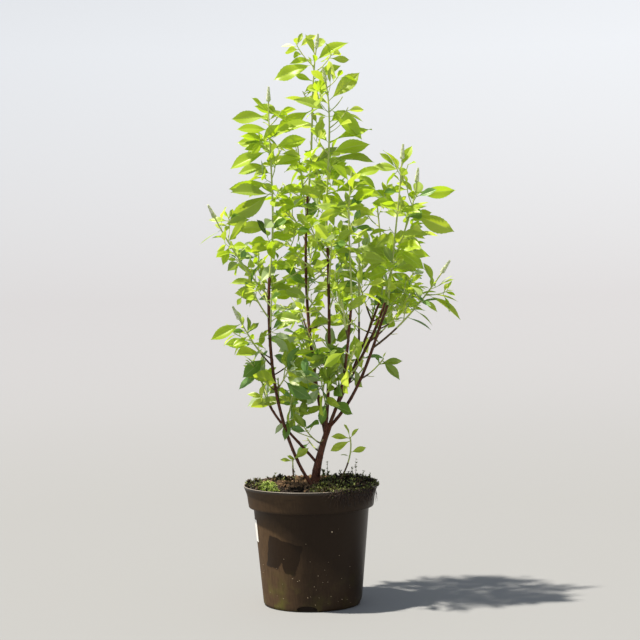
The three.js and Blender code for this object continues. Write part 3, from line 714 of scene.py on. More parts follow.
def outline_leaves(line, rows):
    """Leaves given one by one: place along the stem, bearing, rise and length, and now and then the roll."""
    leaves = []
    for along, bearing, rise, length, *rolls in rows:
        turned = 1 if np.cos(np.radians(bearing)) > 0 else -1
        roll = np.radians(rolls[0] if rolls else OUTLINE_ROLL) * turned
        heading = heading_of(bearing, rise)
        stretched = length * OUTLINE_STRETCH
        leaves.append(leaf_row(line, along, heading, roll, stretched, OUTLINE_DROOP, OUTLINE_SPREAD))
    return leaves


by_hand = [spec.get("leaves", ()) for table in (LEADERS, SHOOTS, BASAL_SHOOTS) for spec in table.values()]
print(sum(map(len, by_hand)), "leaves by hand in the shoots' own tables")

# %% Sprigs and twigs
SPRIG_LENGTH = 46
SPRIG_SPREAD = (0.75, 1.25)
SPRIG_SPAN = (0.3, 0.92)
SPRIG_LIFTS = (36, 66)
SPRIG_BEND = 0.6
TWIG_TURNS = (-12, 14)
TWIG_BEND = 0.55


def bent_twig(foot, headings, length, bend_share):
    """A twig that bends once on its way."""
    bend = foot + headings[0] * length * bend_share
    return Line(foot, bend, bend + headings[1] * length * (1 - bend_share))


def sprigs_on(line, draw, count):
    """Sprigs that leave a stem by rule between its lower part and its tip, and turn up."""
    sprigs = []
    bearing = draw() * 2 * np.pi
    for index in range(count):
        t = between(SPRIG_SPAN, (index + 0.5) / count)
        length = SPRIG_LENGTH * between(SPRIG_SPREAD, draw())
        headings = [line.outward(t, bearing, np.radians(lift)) for lift in SPRIG_LIFTS]
        sprigs.append(bent_twig(line.at(t), headings, length, SPRIG_BEND))
        bearing += np.radians(SPIRAL)
    return sprigs


def outline_twigs(line, rows):
    """Twigs given one by one: place along the stem, bearing, rise and length."""
    twigs = []
    for along, bearing, rise, length in rows:
        headings = [heading_of(bearing, rise + turn) for turn in TWIG_TURNS]
        twigs.append(bent_twig(line.at(along), headings, length, TWIG_BEND))
    return twigs


print("sprigs are", [round(SPRIG_LENGTH * share) for share in SPRIG_SPREAD], "mm long")

# %% The stems' lines
SHOOT_BOW = 0.13
CUT_BACK = 0.39
HALVINGS = 30


def at_height(line, height):
    """The point of a limb at a height, found by halving."""
    low, high = 0.0, 1.0
    for _ in range(HALVINGS):
        middle = (low + high) / 2
        if line.at(middle)[2] < height:
            low = middle
        else:
            high = middle
    return line.at(low)


def bowed(foot, bearing, rise, reach):
    """The line of a side shoot, which rises in a shallow bow."""
    tip = foot + heading_of(bearing, rise) * reach
    return Line(foot, (foot + tip) / 2 - np.array([0, 0, SHOOT_BOW * reach]), tip)


def shoot_line(spec):
    """A side shoot bows up from its limb, a leader carries its cane on, a basal shoot leaves the soil."""
    if "on" not in spec:
        return Line(*spec["line"])
    limb = Line(*LIMBS[spec["on"]]["line"])
    if "line" in spec:
        return Line(limb.at(1) + limb.heading(1) * CUT_BACK, *spec["line"])
    return bowed(at_height(limb, spec["height"]), spec["bearing"], spec["rise"], spec["reach"])


print("the apex leader is", round(shoot_line(LEADERS["apex_leader"]).length), "mm long")

# %% Grow the shoots
FIRST_SEED, SEED_STEP = 7919, 104729
SHORT_SHOOT, LONG_SHOOT = 70, 300
SHORT_SHOOT_LEAF = 0.72
SPRIG_LEAF = 0.5
INTERNODE = 21
SPRIG_INTERNODE = 20
STEM_RADII = (1.6, 2.3)
BARE_LEADER, BARE_SHOOT, BARE_BASAL_SHOOT, BARE_SPRIG = 0.04, 0.12, 0.8, 0.3


def grow_shoot(number, name, spec, bare):
    """One shoot: its stem, its sprigs, and the leaves given one by one and by rule."""
    line = shoot_line(spec)
    draw = seeded_draws(FIRST_SEED + SEED_STEP * (number + 1))
    vigour = np.clip((line.length - SHORT_SHOOT) / (LONG_SHOOT - SHORT_SHOOT), 0, 1)
    size = spec.get("leaf_size", between((SHORT_SHOOT_LEAF, 1), vigour))
    sprigs = outline_twigs(line, spec.get("twigs", ())) + sprigs_on(line, draw, spec.get("sprigs", 0))
    shown = outline_leaves(line, spec.get("leaves", ()) + MORE_LEAVES.get(name, ()))
    grown = leaves_on(line, draw, bare, INTERNODE, size)
    for sprig in sprigs:
        grown += leaves_on(sprig, draw, BARE_SPRIG, SPRIG_INTERNODE, SPRIG_LEAF * size)
    return dict(name=name, line=line, radius=between(STEM_RADII, vigour), size=size, sprigs=sprigs,
                shown=shown, grown=grown, spike=spec.get("spike", False))


shoots = []
for table, bare in ((LEADERS, BARE_LEADER), (SHOOTS, BARE_SHOOT), (BASAL_SHOOTS, BARE_BASAL_SHOOT)):
    for name, spec in table.items():
        shoots.append(grow_shoot(len(shoots), name, spec, bare))
large_leaves = sum(len(shoot["grown"]) + len(shoot["shown"]) for shoot in shoots)
print(len(shoots), "shoots,", large_leaves, "leaves by rule and by hand")

# %% [markdown]
# ## Finer twigs and small leaves
# Between its large leaves the real crown is filled by short side shoots on the old canes, by sprigs
# in the axils of the leaves, and by tufts of young leaves round the growing tips. Small leaves
# scattered at random would float, so each stands on a twig of its own, in the same spiral. High up
# there are fewer, because the leaders stand open against the sky.

# %% Short side shoots on the canes
SIDE_STEP = 31
SIDE_SPAN = (0.05, 0.99)
SIDE_FROM = {"left_cane": 372, "crossing_cane": 372, "right_cane": 530, "right_inner_cane": 500}
SIDE_FROM_ELSE = 400
SIDE_SPREAD = 18
SIDE_RISE = (24, 58)
SIDE_REACH = (44, 92)
SIDE_SIZE = (0.68, 0.96)
SIDE_RADIUS = 1.2
SIDE_BARE = 0.22
SIDE_INTERNODE = 15


def side_shoots(rng):
    """Short side shoots all the way up the canes, in the same spiral and the same bow as the rest."""
    grown = []
    for name, limb in LIMBS.items():
        line = Line(*limb["line"])
        bearing = rng.uniform(0, 360)
        for t in np.arange(*SIDE_SPAN, SIDE_STEP / line.length):
            foot = line.at(t)
            bearing += SPIRAL + rng.uniform(-SIDE_SPREAD, SIDE_SPREAD)
            if name == "trunk" or foot[2] < SIDE_FROM.get(name, SIDE_FROM_ELSE):
                continue
            reach = rng.uniform(*SIDE_REACH)
            stem = bowed(foot, bearing, rng.uniform(*SIDE_RISE), reach)
            size = rng.uniform(*SIDE_SIZE)
            grown.append(dict(
                name=f"{name}_side", line=stem, radius=SIDE_RADIUS, size=size, sprigs=[], fine=[],
                shown=[], grown=[], young=[], small=[], spike=False,
                side=leaves_on(stem, rng.random, SIDE_BARE, SIDE_INTERNODE, size),
            ))
    return grown


print("side shoots every", SIDE_STEP, "mm on", len(LIMBS) - 1, "canes")

# %% Sprigs in the axils
FINE_STEP = 40
FINE_FROM, LEADER_FINE_FROM, FINE_TO = 0.25, 0.05, 0.92
FINE_LENGTH = (18, 46)
FINE_LIFT, FINE_TIP_LIFT = (20, 50), 58
FINE_SPREAD = 20
SPARSE_ABOVE = 900
SPARSE_SHARE = 0.5


def fine_sprigs(shoot, rng):
    """Short sprigs in the axils of the leaves, each with a few leaves of its own."""
    line = shoot["line"]
    sprigs = []
    bearing = rng.uniform(0, 2 * np.pi)
    start = LEADER_FINE_FROM if shoot["name"] in LEADERS else FINE_FROM
    for t in np.arange(start, FINE_TO, FINE_STEP / line.length):
        length = rng.uniform(*FINE_LENGTH) * shoot["size"]
        if line.at(t)[2] > SPARSE_ABOVE and rng.random() < SPARSE_SHARE:
            continue
        lifts = (rng.uniform(*FINE_LIFT), FINE_TIP_LIFT)
        headings = [line.outward(t, bearing, np.radians(lift)) for lift in lifts]
        sprigs.append(bent_twig(line.at(t), headings, length, TWIG_BEND))
        bearing += np.radians(SPIRAL + rng.uniform(-FINE_SPREAD, FINE_SPREAD))
    return sprigs


print("sprigs every", FINE_STEP, "mm, each", FINE_LENGTH, "mm long")

# %% Tufts at the tips
TUFT_LIFT, TUFT_LIFT_SPREAD = (8, 56), 12
TUFT_LEVEL = (1, 1, 0.75)
TUFT_SAG = 0.12
TUFT_LENGTH_SPREAD = 0.25
TUFT_DROOP = (-0.02, 0.2)
TUFT_WIDTH_SPREAD = (0.86, 1.08)
TUFT_SPREAD = 15


def tuft_leaves(line, rng, size, count, span, reach):
    """Leaves that stand up and out round the end of a twig, the lowest the largest and most level."""
    leaves = []
    bearing = rng.uniform(0, 2 * np.pi)
    for index in range(count):
        share = (index + 0.5) / count
        t = between(reach, share)
        lift = between(TUFT_LIFT, share) + rng.uniform(-TUFT_LIFT_SPREAD, TUFT_LIFT_SPREAD)
        heading = line.outward(t, bearing, np.radians(lift))
        heading = unit(heading * TUFT_LEVEL - np.array([0, 0, TUFT_SAG * (1 - share)]))
        size_share = 1 - share + rng.uniform(-TUFT_LENGTH_SPREAD, TUFT_LENGTH_SPREAD)
        length = between(span, np.clip(size_share, 0, 1)) * size
        roll = rng.choice((-1, 1)) * np.radians(rng.uniform(*LEAF_ROLL))
        droop = rng.uniform(*TUFT_DROOP)
        leaves.append(leaf_row(line, t, heading, roll, length, droop, rng.uniform(*TUFT_WIDTH_SPREAD)))
        bearing += np.radians(SPIRAL + rng.uniform(-TUFT_SPREAD, TUFT_SPREAD))
    return leaves


print("tuft leaves lift from", TUFT_LIFT[0], "to", TUFT_LIFT[1], "degrees")

# %% Carry every stem to finer twigs
FINER_SEED = 11
TIP_LEAVES, TIP_LEAF = 5, (22, 54)
TIP_FROM, TIP_TO, SPIKE_CLEAR = 0.7, 0.99, 0.9
FINE_LEAVES, FINE_LEAF, FINE_SPAN = 5, (34, 68), (0.3, 0.99)

rng = np.random.default_rng(FINER_SEED)
for shoot in shoots:
    basal = shoot["name"] in BASAL_SHOOTS
    shoot["side"] = []
    shoot["fine"] = [] if basal else fine_sprigs(shoot, rng)
    shoot["young"] = []
    for line in [shoot["line"], *shoot["sprigs"]]:
        if not basal:
            end = SPIKE_CLEAR if shoot["spike"] and line is shoot["line"] else TIP_TO
            shoot["young"] += tuft_leaves(line, rng, shoot["size"], TIP_LEAVES, TIP_LEAF, (TIP_FROM, end))
    shoot["small"] = []
    for sprig in shoot["fine"]:
        shoot["small"] += tuft_leaves(sprig, rng, shoot["size"], FINE_LEAVES, FINE_LEAF, FINE_SPAN)
shoot_names = [shoot["name"] for shoot in shoots]
shoots += side_shoots(rng)
sprig_count = sum(len(shoot["fine"]) for shoot in shoots)
small_leaves = sum(len(shoot[kind]) for shoot in shoots for kind in ("side", "young", "small"))
print(len(shoots) - len(shoot_names), "side shoots,", sprig_count, "sprigs,", small_leaves, "smaller leaves")

# %% Turn the leaves of the right branch on edge
EDGE_ON = ("right_branch", "right_outer_shoot", "right_low_shoot", "right_cane_side")
EDGE_ON_ROLL, EDGE_ON_WIDTH, EDGE_ON_DROOP = 0.4, 0.75, 0.12
edge_on_leaves = [
    leaf for shoot in shoots if shoot["name"] in EDGE_ON
    for kind in ("grown", "side", "young", "small") for leaf in shoot[kind]
]
for leaf in edge_on_leaves:
    leaf["roll"] *= EDGE_ON_ROLL
    leaf["width"] *= EDGE_ON_WIDTH
    leaf["droop"] += EDGE_ON_DROOP
print(len(edge_on_leaves), "leaves turned on edge")

# %% [markdown]
# Leaves of one plant part the air between them and hardly ever cross. So a leaf is kept only if a
# few points down its blade stay clear of the canes, of the pot and of every leaf that stands already.
# The leaves that draw the outline come first, then the rule's, then the smaller ones. None may grow
# past the box of the solids either, so that the crown keeps its size. And where the photo shows a
# cane or a spike bare, no leaf by rule hangs between it and the camera.

# %% What the photo shows bare and open
# the share of each cane that shows, from its foot to its tip
BARE_CANES = {
    "trunk": (0.1, 0.75), "left_cane": (0.3, 1), "crossing_cane": (0.1, 0.6),
    "middle_cane": (0.55, 1), "back_cane": (0.4, 0.8), "right_cane": (0.3, 1),
    "right_inner_cane": (0.45, 1), "right_front_cane": (0.45, 0.9),
}
SPIKE_REACH = 32
CANE_SAMPLES, BARE_SAMPLES, SPIKE_SAMPLES = 60, 40, 8
# sky through the crown: its middle across and up, half its width and half its height
OPEN_PLACES = (
    (-42, 1033, 36, 20), (78, 1014, 32, 25), (56, 943, 13, 11), (-6, 923, 24, 15), (-50, 849, 22, 15),
    (148, 853, 20, 11), (-98, 797, 17, 11), (-190, 790, 14, 14), (146, 762, 22, 13), (172, 757, 30, 9),
    (-204, 751, 16, 14), (-158, 643, 19, 19), (117, 630, 14, 12), (-49, 607, 16, 10), (-99, 586, 13, 16),
    (107, 586, 22, 12), (214, 557, 28, 25), (115, 556, 20, 22), (168, 530, 28, 20), (-51, 462, 10, 18),
    (132, 459, 19, 22), (-134, 433, 18, 9), (87, 405, 13, 19), (38, 350, 22, 20),
)


def seen_from_front(points):
    """Where points show on an upright plane through the pot's middle, as the camera sees them."""
    eye = np.array(CAMERA_PLACE) / MM
    share = -eye[1] / (points[..., 1:2] - eye[1])
    return eye[[0, 2]] + (points[..., [0, 2]] - eye[[0, 2]]) * share


cane_points = np.concatenate([
    Line(*limb["line"]).at(np.linspace(0, 1, CANE_SAMPLES)) for limb in LIMBS.values()
])
bare_points = [
    Line(*LIMBS[name]["line"]).at(np.linspace(*span, BARE_SAMPLES)) for name, span in BARE_CANES.items()
]
for shoot in shoots:
    if shoot["spike"]:
        tip, heading = shoot["line"].at(1), shoot["line"].heading(1)
        bare_points.append(tip + heading * np.linspace(0, SPIKE_REACH, SPIKE_SAMPLES)[:, None])
bare_points = np.concatenate(bare_points)
bare_shown = seen_from_front(bare_points)
open_middles, open_halves = np.array(OPEN_PLACES, float)[:, :2], np.array(OPEN_PLACES, float)[:, 2:]
print(len(bare_points), "points of bare wood,", len(OPEN_PLACES), "open places")

# %% Test a blade against the wood and the sky
BARE_HALF = 6.5
BLADE_SHARES = (0.38, 0.62, 0.86, 1)
EDGE_SHARE = 0.4


def hides_wood(points):
    """Whether a blade hangs in front of a cane or a spike that the photo shows bare."""
    apart = np.linalg.norm(seen_from_front(points)[:, None] - bare_shown, axis=-1)
    return ((apart < BARE_HALF) & (points[:, None, 1] < bare_points[:, 1])).any()


def fills_gap(points):
    """Whether a blade would close a place where the photo shows the sky through the crown."""
    off_middle = (seen_from_front(points)[:, None] - open_middles) / open_halves
    return (np.linalg.norm(off_middle, axis=-1) < 1).any()


def leaf_axes(leaf):
    """Across the blade and square to it, after the leaf's roll."""
    heading = leaf["heading"]
    level = unit(np.array([heading[1], -heading[0], 0.0]))
    across = level * np.cos(leaf["roll"]) + np.cross(heading, level) * np.sin(leaf["roll"])
    return across, np.cross(across, heading)


def blade_points(leaf):
    """Four points down the middle of a blade, the tip last, and one near each edge."""
    across, above = leaf_axes(leaf)
    middle = [leaf["foot"] + leaf["heading"] * leaf["length"] * share
              - above * leaf["droop"] * leaf["length"] * share ** 2 for share in BLADE_SHARES]
    edges = [middle[1] + across * side * leaf["width"] * EDGE_SHARE for side in (-1, 1)]
    return np.array(middle + edges)


print("the first leader's first leaf hides wood:", bool(hides_wood(blade_points(shoots[0]["shown"][0]))))

# %% Thin out the leaves that would cross
LEAF_GAPS = {"shown": 0, "grown": 7, "side": 6, "young": 4, "small": 5}
CANE_GAP = 5.0
POT_TOP = 246
CROWN_FOOT = 345
BOX_MARGIN = 3
box_low, box_high = np.array(CAD_BOX) / MM + np.array([[-BOX_MARGIN], [BOX_MARGIN]])


def thin_out(shoots):
    """Keeps the leaves that stand clear. A gap of 0 keeps a listed leaf wherever it stands."""
    taken = np.empty((0, 3))
    for kind, gap in LEAF_GAPS.items():
        for shoot in shoots:
            kept = []
            for leaf in shoot[kind]:
                points = blade_points(leaf)
                near_leaf = len(taken) and (np.linalg.norm(points[:, None] - taken, axis=2) < gap).any()
                near_cane = (np.linalg.norm(points[:, None] - cane_points, axis=2) < CANE_GAP).any()
                lowest = POT_TOP if shoot["name"] in BASAL_SHOOTS else CROWN_FOOT
                outside = (points < box_low).any() or (points > box_high).any() or points[:, 2].min() < lowest
                if gap and (near_leaf or near_cane or outside or hides_wood(points) or fills_gap(points)):
                    continue
                kept.append(leaf)
                # a tip may come close to another leaf, so it takes no room
                taken = np.concatenate([taken, points[:3], points[4:]])
            shoot[kind] = kept


thin_out(shoots)
shoots = [shoot for shoot in shoots if shoot["name"] in shoot_names or len(shoot["side"]) > 1]
print({kind: sum(len(shoot[kind]) for shoot in shoots) for kind in LEAF_GAPS}, "leaves kept")

# %% [markdown]
# ## Leaf blades
# A summersweet leaf is 4 to 8 cm long, widest a little beyond its middle, with a wedge-shaped foot, a
# sharp tip and fine teeth round its upper half. The blade is folded along its midrib, quilted a little
# between the side veins, and bends down towards its tip. A picture on a card would show all that from
# one side only. A grid of strips and steps holds the outline, the teeth and the quilting as real
# shape, and the middle strip is the midrib, with a colour of its own. All leaves of one tone are
# worked out in one sum and make one mesh.

# %% The numbers of a blade
LEAF_STEPS = ((52, 25), (34, 17), (0, 12))
STRIPS = np.array([-1, -0.62, -0.28, -0.04, 0.04, 0.28, 0.62, 1])
STEP_CROWDING = 0.92
PETIOLE_SHARE = 0.08
PETIOLE_WIDTH = 1.5
BELLY = (1.12, 1.36)
TOOTHED_FROM, TOOTHED_TO = 0.35, 0.96
TOOTH = 0.028
PUCKER = 0.036
ARCH = (-0.1, 0.3)
FOLD = (0.12, 0.6)
RIB_DEPTH = 0.35
SAG = (-0.04, 0.09)
BEND = (-0.08, 0.08)
TWIST = (-0.45, 0.45)
WAVE, WAVE_COUNT = (0, 0.07), (2, 4.5)
for shortest, steps in LEAF_STEPS:
    print("a blade over", shortest, "mm long has", (steps - 1) * (len(STRIPS) - 1), "faces")

# %% Make many blades in one sum
def blade_grid(leaves, steps, rng):
    """Points of all the blades at once, as leaves by steps by strips."""
    count = len(leaves)
    column = lambda key: np.array([leaf[key] for leaf in leaves])[:, None, None]
    random = lambda low, high: rng.uniform(low, high, (count, 1, 1))
    axes = [leaf_axes(leaf) for leaf in leaves]
    across = np.array([axis[0] for axis in axes])[:, None, None]
    above = np.array([axis[1] for axis in axes])[:, None, None]
    foot, heading = column("foot"), column("heading")
    length, width, droop = column("length"), column("width"), column("droop")

    step = np.arange(steps)[None, :, None]
    along = (step / (steps - 1)) ** STEP_CROWDING
    strip = STRIPS[None, None, :]
    blade = np.clip((along - PETIOLE_SHARE) / (1 - PETIOLE_SHARE), 0, 1)
    # the outline swells past the middle and runs out in a sharp tip
    outline = np.sin(np.pi * blade ** random(*BELLY)) ** (0.95 + 0.5 * (2 * blade - 1) ** 2)
    half = np.maximum(outline * width / 2, PETIOLE_WIDTH / 2 * (1 - blade))
    # every second step of the edge strips stands out as a tooth
    toothed = np.clip((blade - TOOTHED_FROM) * 5, 0, 1) * (blade < TOOTHED_TO) * (np.abs(strip) == 1)
    teeth = np.where(step % 2 == 0, 1, -1) * toothed
    sideways = strip * half * (1 + TOOTH * teeth)
    lengthways = along * length + TOOTH * teeth * half
    # the blade is quilted between the veins, arched on each side of the midrib and folded along it
    lane = np.round(np.abs(strip) * 3)
    quilt = PUCKER * width * np.where((step + lane) % 2 == 0, 1, -1) * (lane > 0) * (lane < 3) * outline
    arch = random(*ARCH) * (1 - (np.abs(strip) * 1.8 - 0.9) ** 2) * half
    fold = random(*FOLD) * np.abs(strip) * half
    rib = -RIB_DEPTH * (np.abs(strip) < 0.1) * (1 - along)
    # as a whole it droops, bends to one side, twists and waves at its edges
    sag = droop * length * along ** 2 + random(*SAG) * length * along ** 3
    bend = random(*BEND) * length * along ** 2
    twist = random(*TWIST) * along
    wave = random(*WAVE) * width * np.sin(random(*WAVE_COUNT) * np.pi * along + random(0, 6)) * strip

    lift = fold + quilt + arch * 0.5 + rib
    flat = sideways * np.cos(twist) - lift * np.sin(twist) + bend
    raised = sideways * np.sin(twist) + lift * np.cos(twist) - sag + wave
    return foot + heading * lengthways[..., None] + across * flat[..., None] + above * raised[..., None]


def add_blades(pile, leaves, steps, rng):
    """Adds blades of one length to a pile, the strip in their middle as midribs."""
    grid = blade_grid(leaves, steps, rng)
    faces = sheet_faces(steps, len(STRIPS)).reshape(steps - 1, len(STRIPS) - 1, 4)
    offsets = (np.arange(len(leaves)) * steps * len(STRIPS))[:, None, None]
    middle = (len(STRIPS) - 1) // 2
    blade = np.delete(faces, middle, axis=1).reshape(-1, 4)
    rib = faces[:, middle].reshape(-1, 4)
    start = pile.count
    pile.add(grid, (offsets + blade).reshape(-1, 4))
    pile.faces.append(((offsets + rib).reshape(-1, 4) + start, 1))


def pile_of_blades(leaves, seed):
    """All blades of a tone, the long ones in more steps than the short ones."""
    pile = Pile()
    rng = np.random.default_rng(seed)
    longest = np.inf
    for shortest, steps in LEAF_STEPS:
        sized = [leaf for leaf in leaves if shortest <= leaf["length"] < longest]
        if sized:
            add_blades(pile, sized, steps, rng)
        longest = shortest
    return pile


print("blades are made", len(STRIPS) - 1, "strips wide, with the midrib in the middle")

# %% [markdown]
# ## Leaf colours
# A leaf is a thin bag of green cells with a waxy skin. Light from above goes partly through it: seen
# against the light it glows yellow-green, seen by reflected light it is a quieter, bluer green with a
# pale gloss. So each tone mixes a satin surface with a translucent one. The leaves at the top are
# thin, lighter and yellower, and the old ones low inside the crown thick and deeper green: partly the
# real difference of sun and shade leaves, partly painted light and shade. The young ones at the tips
# are palest. Each leaf draws its tone from a mix that depends on its height and on how far inside
# the crown it stands. The leaders' own large leaves draw a lighter mix, painted sunlight, and the low
# heart of the crown a darker one, painted shade.

# %% Leaf tones
TONES = {
    "sun": dict(face="#a2bb2c", glow="#bcde26", through=0.46),
    "lime": dict(face="#bacb48", glow="#d0e848", through=0.5),
    "fresh": dict(face="#9cb442", glow="#c2d832", through=0.45),
    "middle": dict(face="#8aa23e", glow="#b0c834", through=0.44),
    "olive": dict(face="#728a38", glow="#9cb634", through=0.36),
    "deep": dict(face="#5b8030", glow="#86ae2e", through=0.34),
    "shade": dict(face="#3a531e", glow="#5f7e1e", through=0.25),
    "blue": dict(face="#648c4b", glow="#8cb04e", through=0.3),
    "silver": dict(face="#a9bd8c", glow="#b6ca80", through=0.35),
    "young": dict(face="#b6cc5e", glow="#d6e858", through=0.5),
}
# the mixes are lighter high up and on the leaders and darker low and in the heart of the crown: painted light
# and shade over the leaves' own tones
MIXES = {
    "top": dict(sun=0.46, lime=0.14, fresh=0.22, middle=0.11, olive=0.05, silver=0.02),
    "middle": dict(sun=0.3, lime=0.1, fresh=0.24, middle=0.13, olive=0.06, deep=0.05, blue=0.05, silver=0.08),
    "low": dict(sun=0.18, lime=0.04, fresh=0.22, middle=0.2, olive=0.1, deep=0.1, blue=0.06, silver=0.11),
    "inside": dict(sun=0.14, fresh=0.24, middle=0.2, olive=0.14, deep=0.14, shade=0.04, silver=0.1),
    "leader": dict(sun=0.5, lime=0.05, fresh=0.29, middle=0.16),
    "heart": dict(sun=0.06, fresh=0.16, middle=0.2, olive=0.08, deep=0.26, blue=0.12, silver=0.12),
}
RIB_PALE = linear("#c9d492")
RIB_LIGHTER = 0.22
RIB_THROUGH = 0.6


def leaf_material(name, face, glow, through):
    """A waxy leaf: a satin surface over one that lets light through."""
    material, tree = start_material(name)
    surface = add_node(tree, "ShaderNodeBsdfPrincipled", {
        "Base Color": face, "Roughness": 0.38, "IOR": 1.45, "Specular IOR Level": 0.65,
    })
    light_through = add_node(tree, "ShaderNodeBsdfTranslucent", {"Color": glow})
    finish_material(tree, add_node(tree, "ShaderNodeMixShader", {
        0: through, 1: surface.outputs[0], 2: light_through.outputs[0],
    }))
    return material


def tone_pair(tone, face, glow, through):
    """The blade's material and its midrib's, which is paler and lets less light through."""
    blade = [linear(face), linear(glow)]
    rib = [tuple(between(ends, RIB_LIGHTER) for ends in zip(colour, RIB_PALE)) for colour in blade]
    return [leaf_material(f"waxy leaf, {tone}", *blade, through),
            leaf_material(f"midrib, {tone}", *rib, through * RIB_THROUGH)]


print(len(TONES), "tones in", len(MIXES), "mixes")

# %% Deal the tones and make the leaves
CROWN_AXIS_X, CROWN_AXIS_Y, CROWN_TOP = (25, 40), (5, 60), 1100
LOW_BELOW = 520
MIDDLE_BELOW = 800
INSIDE_WITHIN = 45
HEART_BELOW, HEART_FROM, HEART_TO = 475, -60, 62
TONE_BLUR = 30
YOUNG_BELOW, YOUNG_SHARE = 26, 0.3
DEAL_SEED, BLADE_SEED = 23, 60


# the mix that a leaf takes by its place paints the crown's light and shade
def mix_for(point):
    """Which mix of tones a leaf draws from. The crown's axis leans from the trunk to the apex."""
    up = np.clip(point[2] / CROWN_TOP, 0, 1)
    off_axis = np.hypot(point[0] - between(CROWN_AXIS_X, up), point[1] - between(CROWN_AXIS_Y, up))
    if point[2] > MIDDLE_BELOW:
        return "top"
    if point[2] < HEART_BELOW and HEART_FROM < point[0] < HEART_TO:
        return "heart"
    if off_axis < INSIDE_WITHIN:
        return "inside"
    return "middle" if point[2] > LOW_BELOW else "low"


def tone_for(leaf, kind, shoot_name, rng):
    """Draws a leaf's tone from the mix of its place. The place is blurred, so that no border shows."""
    mix = MIXES[mix_for(leaf["foot"] + rng.normal(0, TONE_BLUR, 3))]
    on_leader = shoot_name in LEADERS
    # the leaders' large leaves take the lightest mix, painted sunlight
    if kind in ("shown", "grown") and on_leader:
        mix = MIXES["leader"]
    tone = rng.choice(list(mix), p=np.array(list(mix.values())) / sum(mix.values()))
    if kind == "young" and (leaf["length"] < YOUNG_BELOW or on_leader) and rng.random() < YOUNG_SHARE:
        tone = "young"
    return "fresh" if shoot_name in BASAL_SHOOTS else tone


rng = np.random.default_rng(DEAL_SEED)
dealt = {tone: [] for tone in TONES}
for shoot in shoots:
    for kind in LEAF_GAPS:
        for leaf in shoot[kind]:
            dealt[tone_for(leaf, kind, shoot["name"], rng)].append(leaf)
for number, (tone, leaves) in enumerate(dealt.items()):
    add_piece(f"leaves_{tone}", pile_of_blades(leaves, BLADE_SEED + number), tone_pair(tone, **TONES[tone]),
              replaces=shoot_names if tone == "sun" else ())

# %% [markdown]
# ## Green stems
# This year's growth is green, round and finely downy, a little thicker at each leaf. The first part
# of a shoot that leaves old wood low down, or that comes from the soil, has already turned brown.

# %% Grow the stems
STEM_STEP = 9
STEM_TIP_RADIUS = 1.4
SPRIG_RADII = (1.2, 0.84)
FINE_RADII = (0.8, 0.5)
KNEE_SWELL, KNEE_LENGTH = 0.22, 2.5
BROWN_BELOW = 560
BROWN_SHARES = {"left_basal_shoot": 0.8, "right_basal_shoot": 0.45}
BROWN_SHARE = 0.35
BROWN_PROUD = 0.15


def stem_radius(line, foot, tip):
    """The radius of a stem, which swells a little at each leaf."""
    def radius(t, turn):
        place = t * line.length / INTERNODE
        off_leaf = (place - np.round(place)) * INTERNODE
        return between((foot, tip), t) + KNEE_SWELL * np.exp(-(off_leaf / KNEE_LENGTH) ** 2)

    return radius


def first_part(line, share):
    """The Bezier line that follows the first share of another."""
    points, kept = line.points, []
    while len(points):
        kept.append(points[0])
        points = between((points[:-1], points[1:]), share)
    return Line(*kept)


green_stems = Pile()
for shoot in shoots:
    line = shoot["line"]
    add_tube(green_stems, line, max(8, int(line.length / STEM_STEP)), 8,
             stem_radius(line, shoot["radius"], STEM_TIP_RADIUS))
    if line.points[0][2] < BROWN_BELOW and shoot["name"] not in LEADERS:
        share = BROWN_SHARES.get(shoot["name"], BROWN_SHARE)
        ends = np.array([shoot["radius"], between((shoot["radius"], STEM_TIP_RADIUS), share)]) + BROWN_PROUD
        add_tube(green_stems, first_part(line, share), 8, 8, stem_radius(line, *ends), slot=1)
    for sprig in shoot["sprigs"]:
        add_tube(green_stems, sprig, 6, 6, stem_radius(sprig, *SPRIG_RADII))
    for sprig in shoot["fine"]:
        add_tube(green_stems, sprig, 4, 5, stem_radius(sprig, *FINE_RADII))

stem_green, tree = start_material("downy green stem")
finish_material(tree, add_node(tree, "ShaderNodeBsdfPrincipled", {
    "Base Color": linear("#abb86a"), "Roughness": 0.6, "IOR": 1.42, "Sheen Weight": 0.35,
    "Sheen Roughness": 0.5, "Subsurface Weight": 0.15, "Subsurface Scale": 0.002,
}))
stem_brown, tree = start_material("stem turning to wood")
finish_material(tree, add_node(tree, "ShaderNodeBsdfPrincipled", {
    "Base Color": linear("#4e3a22"), "Roughness": 0.65, "IOR": 1.5,
}))
add_piece("stems", green_stems, [stem_green, stem_brown])

# %% [markdown]
# ## Spikes of flower buds
# The flowers aren't out yet: each leader ends in a slim grey-green spike of tight buds, the lowest
# the largest, in the same spiral as the leaves. Each bud is a small drop that leans up and out.

# %% Set the bud spikes
SPIKE_LENGTH = 29
SPIKE_SUNK = 6
SPIKE_RADII = (1.2, 0.5)
BUDS_ON_SPIKE = 95
BUDS_FROM, BUDS_SPAN = 0.08, 0.9
BUD_LENGTH = 5
BUD_WIDTH = 3.2
BUD_SIZES, BUD_SIZE_SPREAD = (1.15, 0.45), (0.85, 1.1)
BUD_LIFT = np.radians(50)
BUD_OUT = (2.1, 0.7)
GREEN_BUDS = 0.4
BUD_PROFILE = ((0, 0.25), (0.3, 1), (0.7, 0.8), (1, 0.05))
BUD_SIDES = 6
SKEW = (0.31, 0.17, 0.93)
SPIKE_SEED = 31


def add_bud(pile, foot, heading, size, slot):
    """Adds a small drop. SKEW is any direction that no bud points in."""
    side = unit(np.cross(heading, SKEW))
    front = np.cross(heading, side)
    turn = np.arange(BUD_SIDES) * 2 * np.pi / BUD_SIDES
    ring = np.cos(turn)[:, None] * side + np.sin(turn)[:, None] * front
    points = [foot + heading * BUD_LENGTH * size * along + ring * BUD_WIDTH / 2 * size * girth
              for along, girth in BUD_PROFILE]
    pile.add(points, sheet_faces(len(BUD_PROFILE), BUD_SIDES, closed=True), slot)


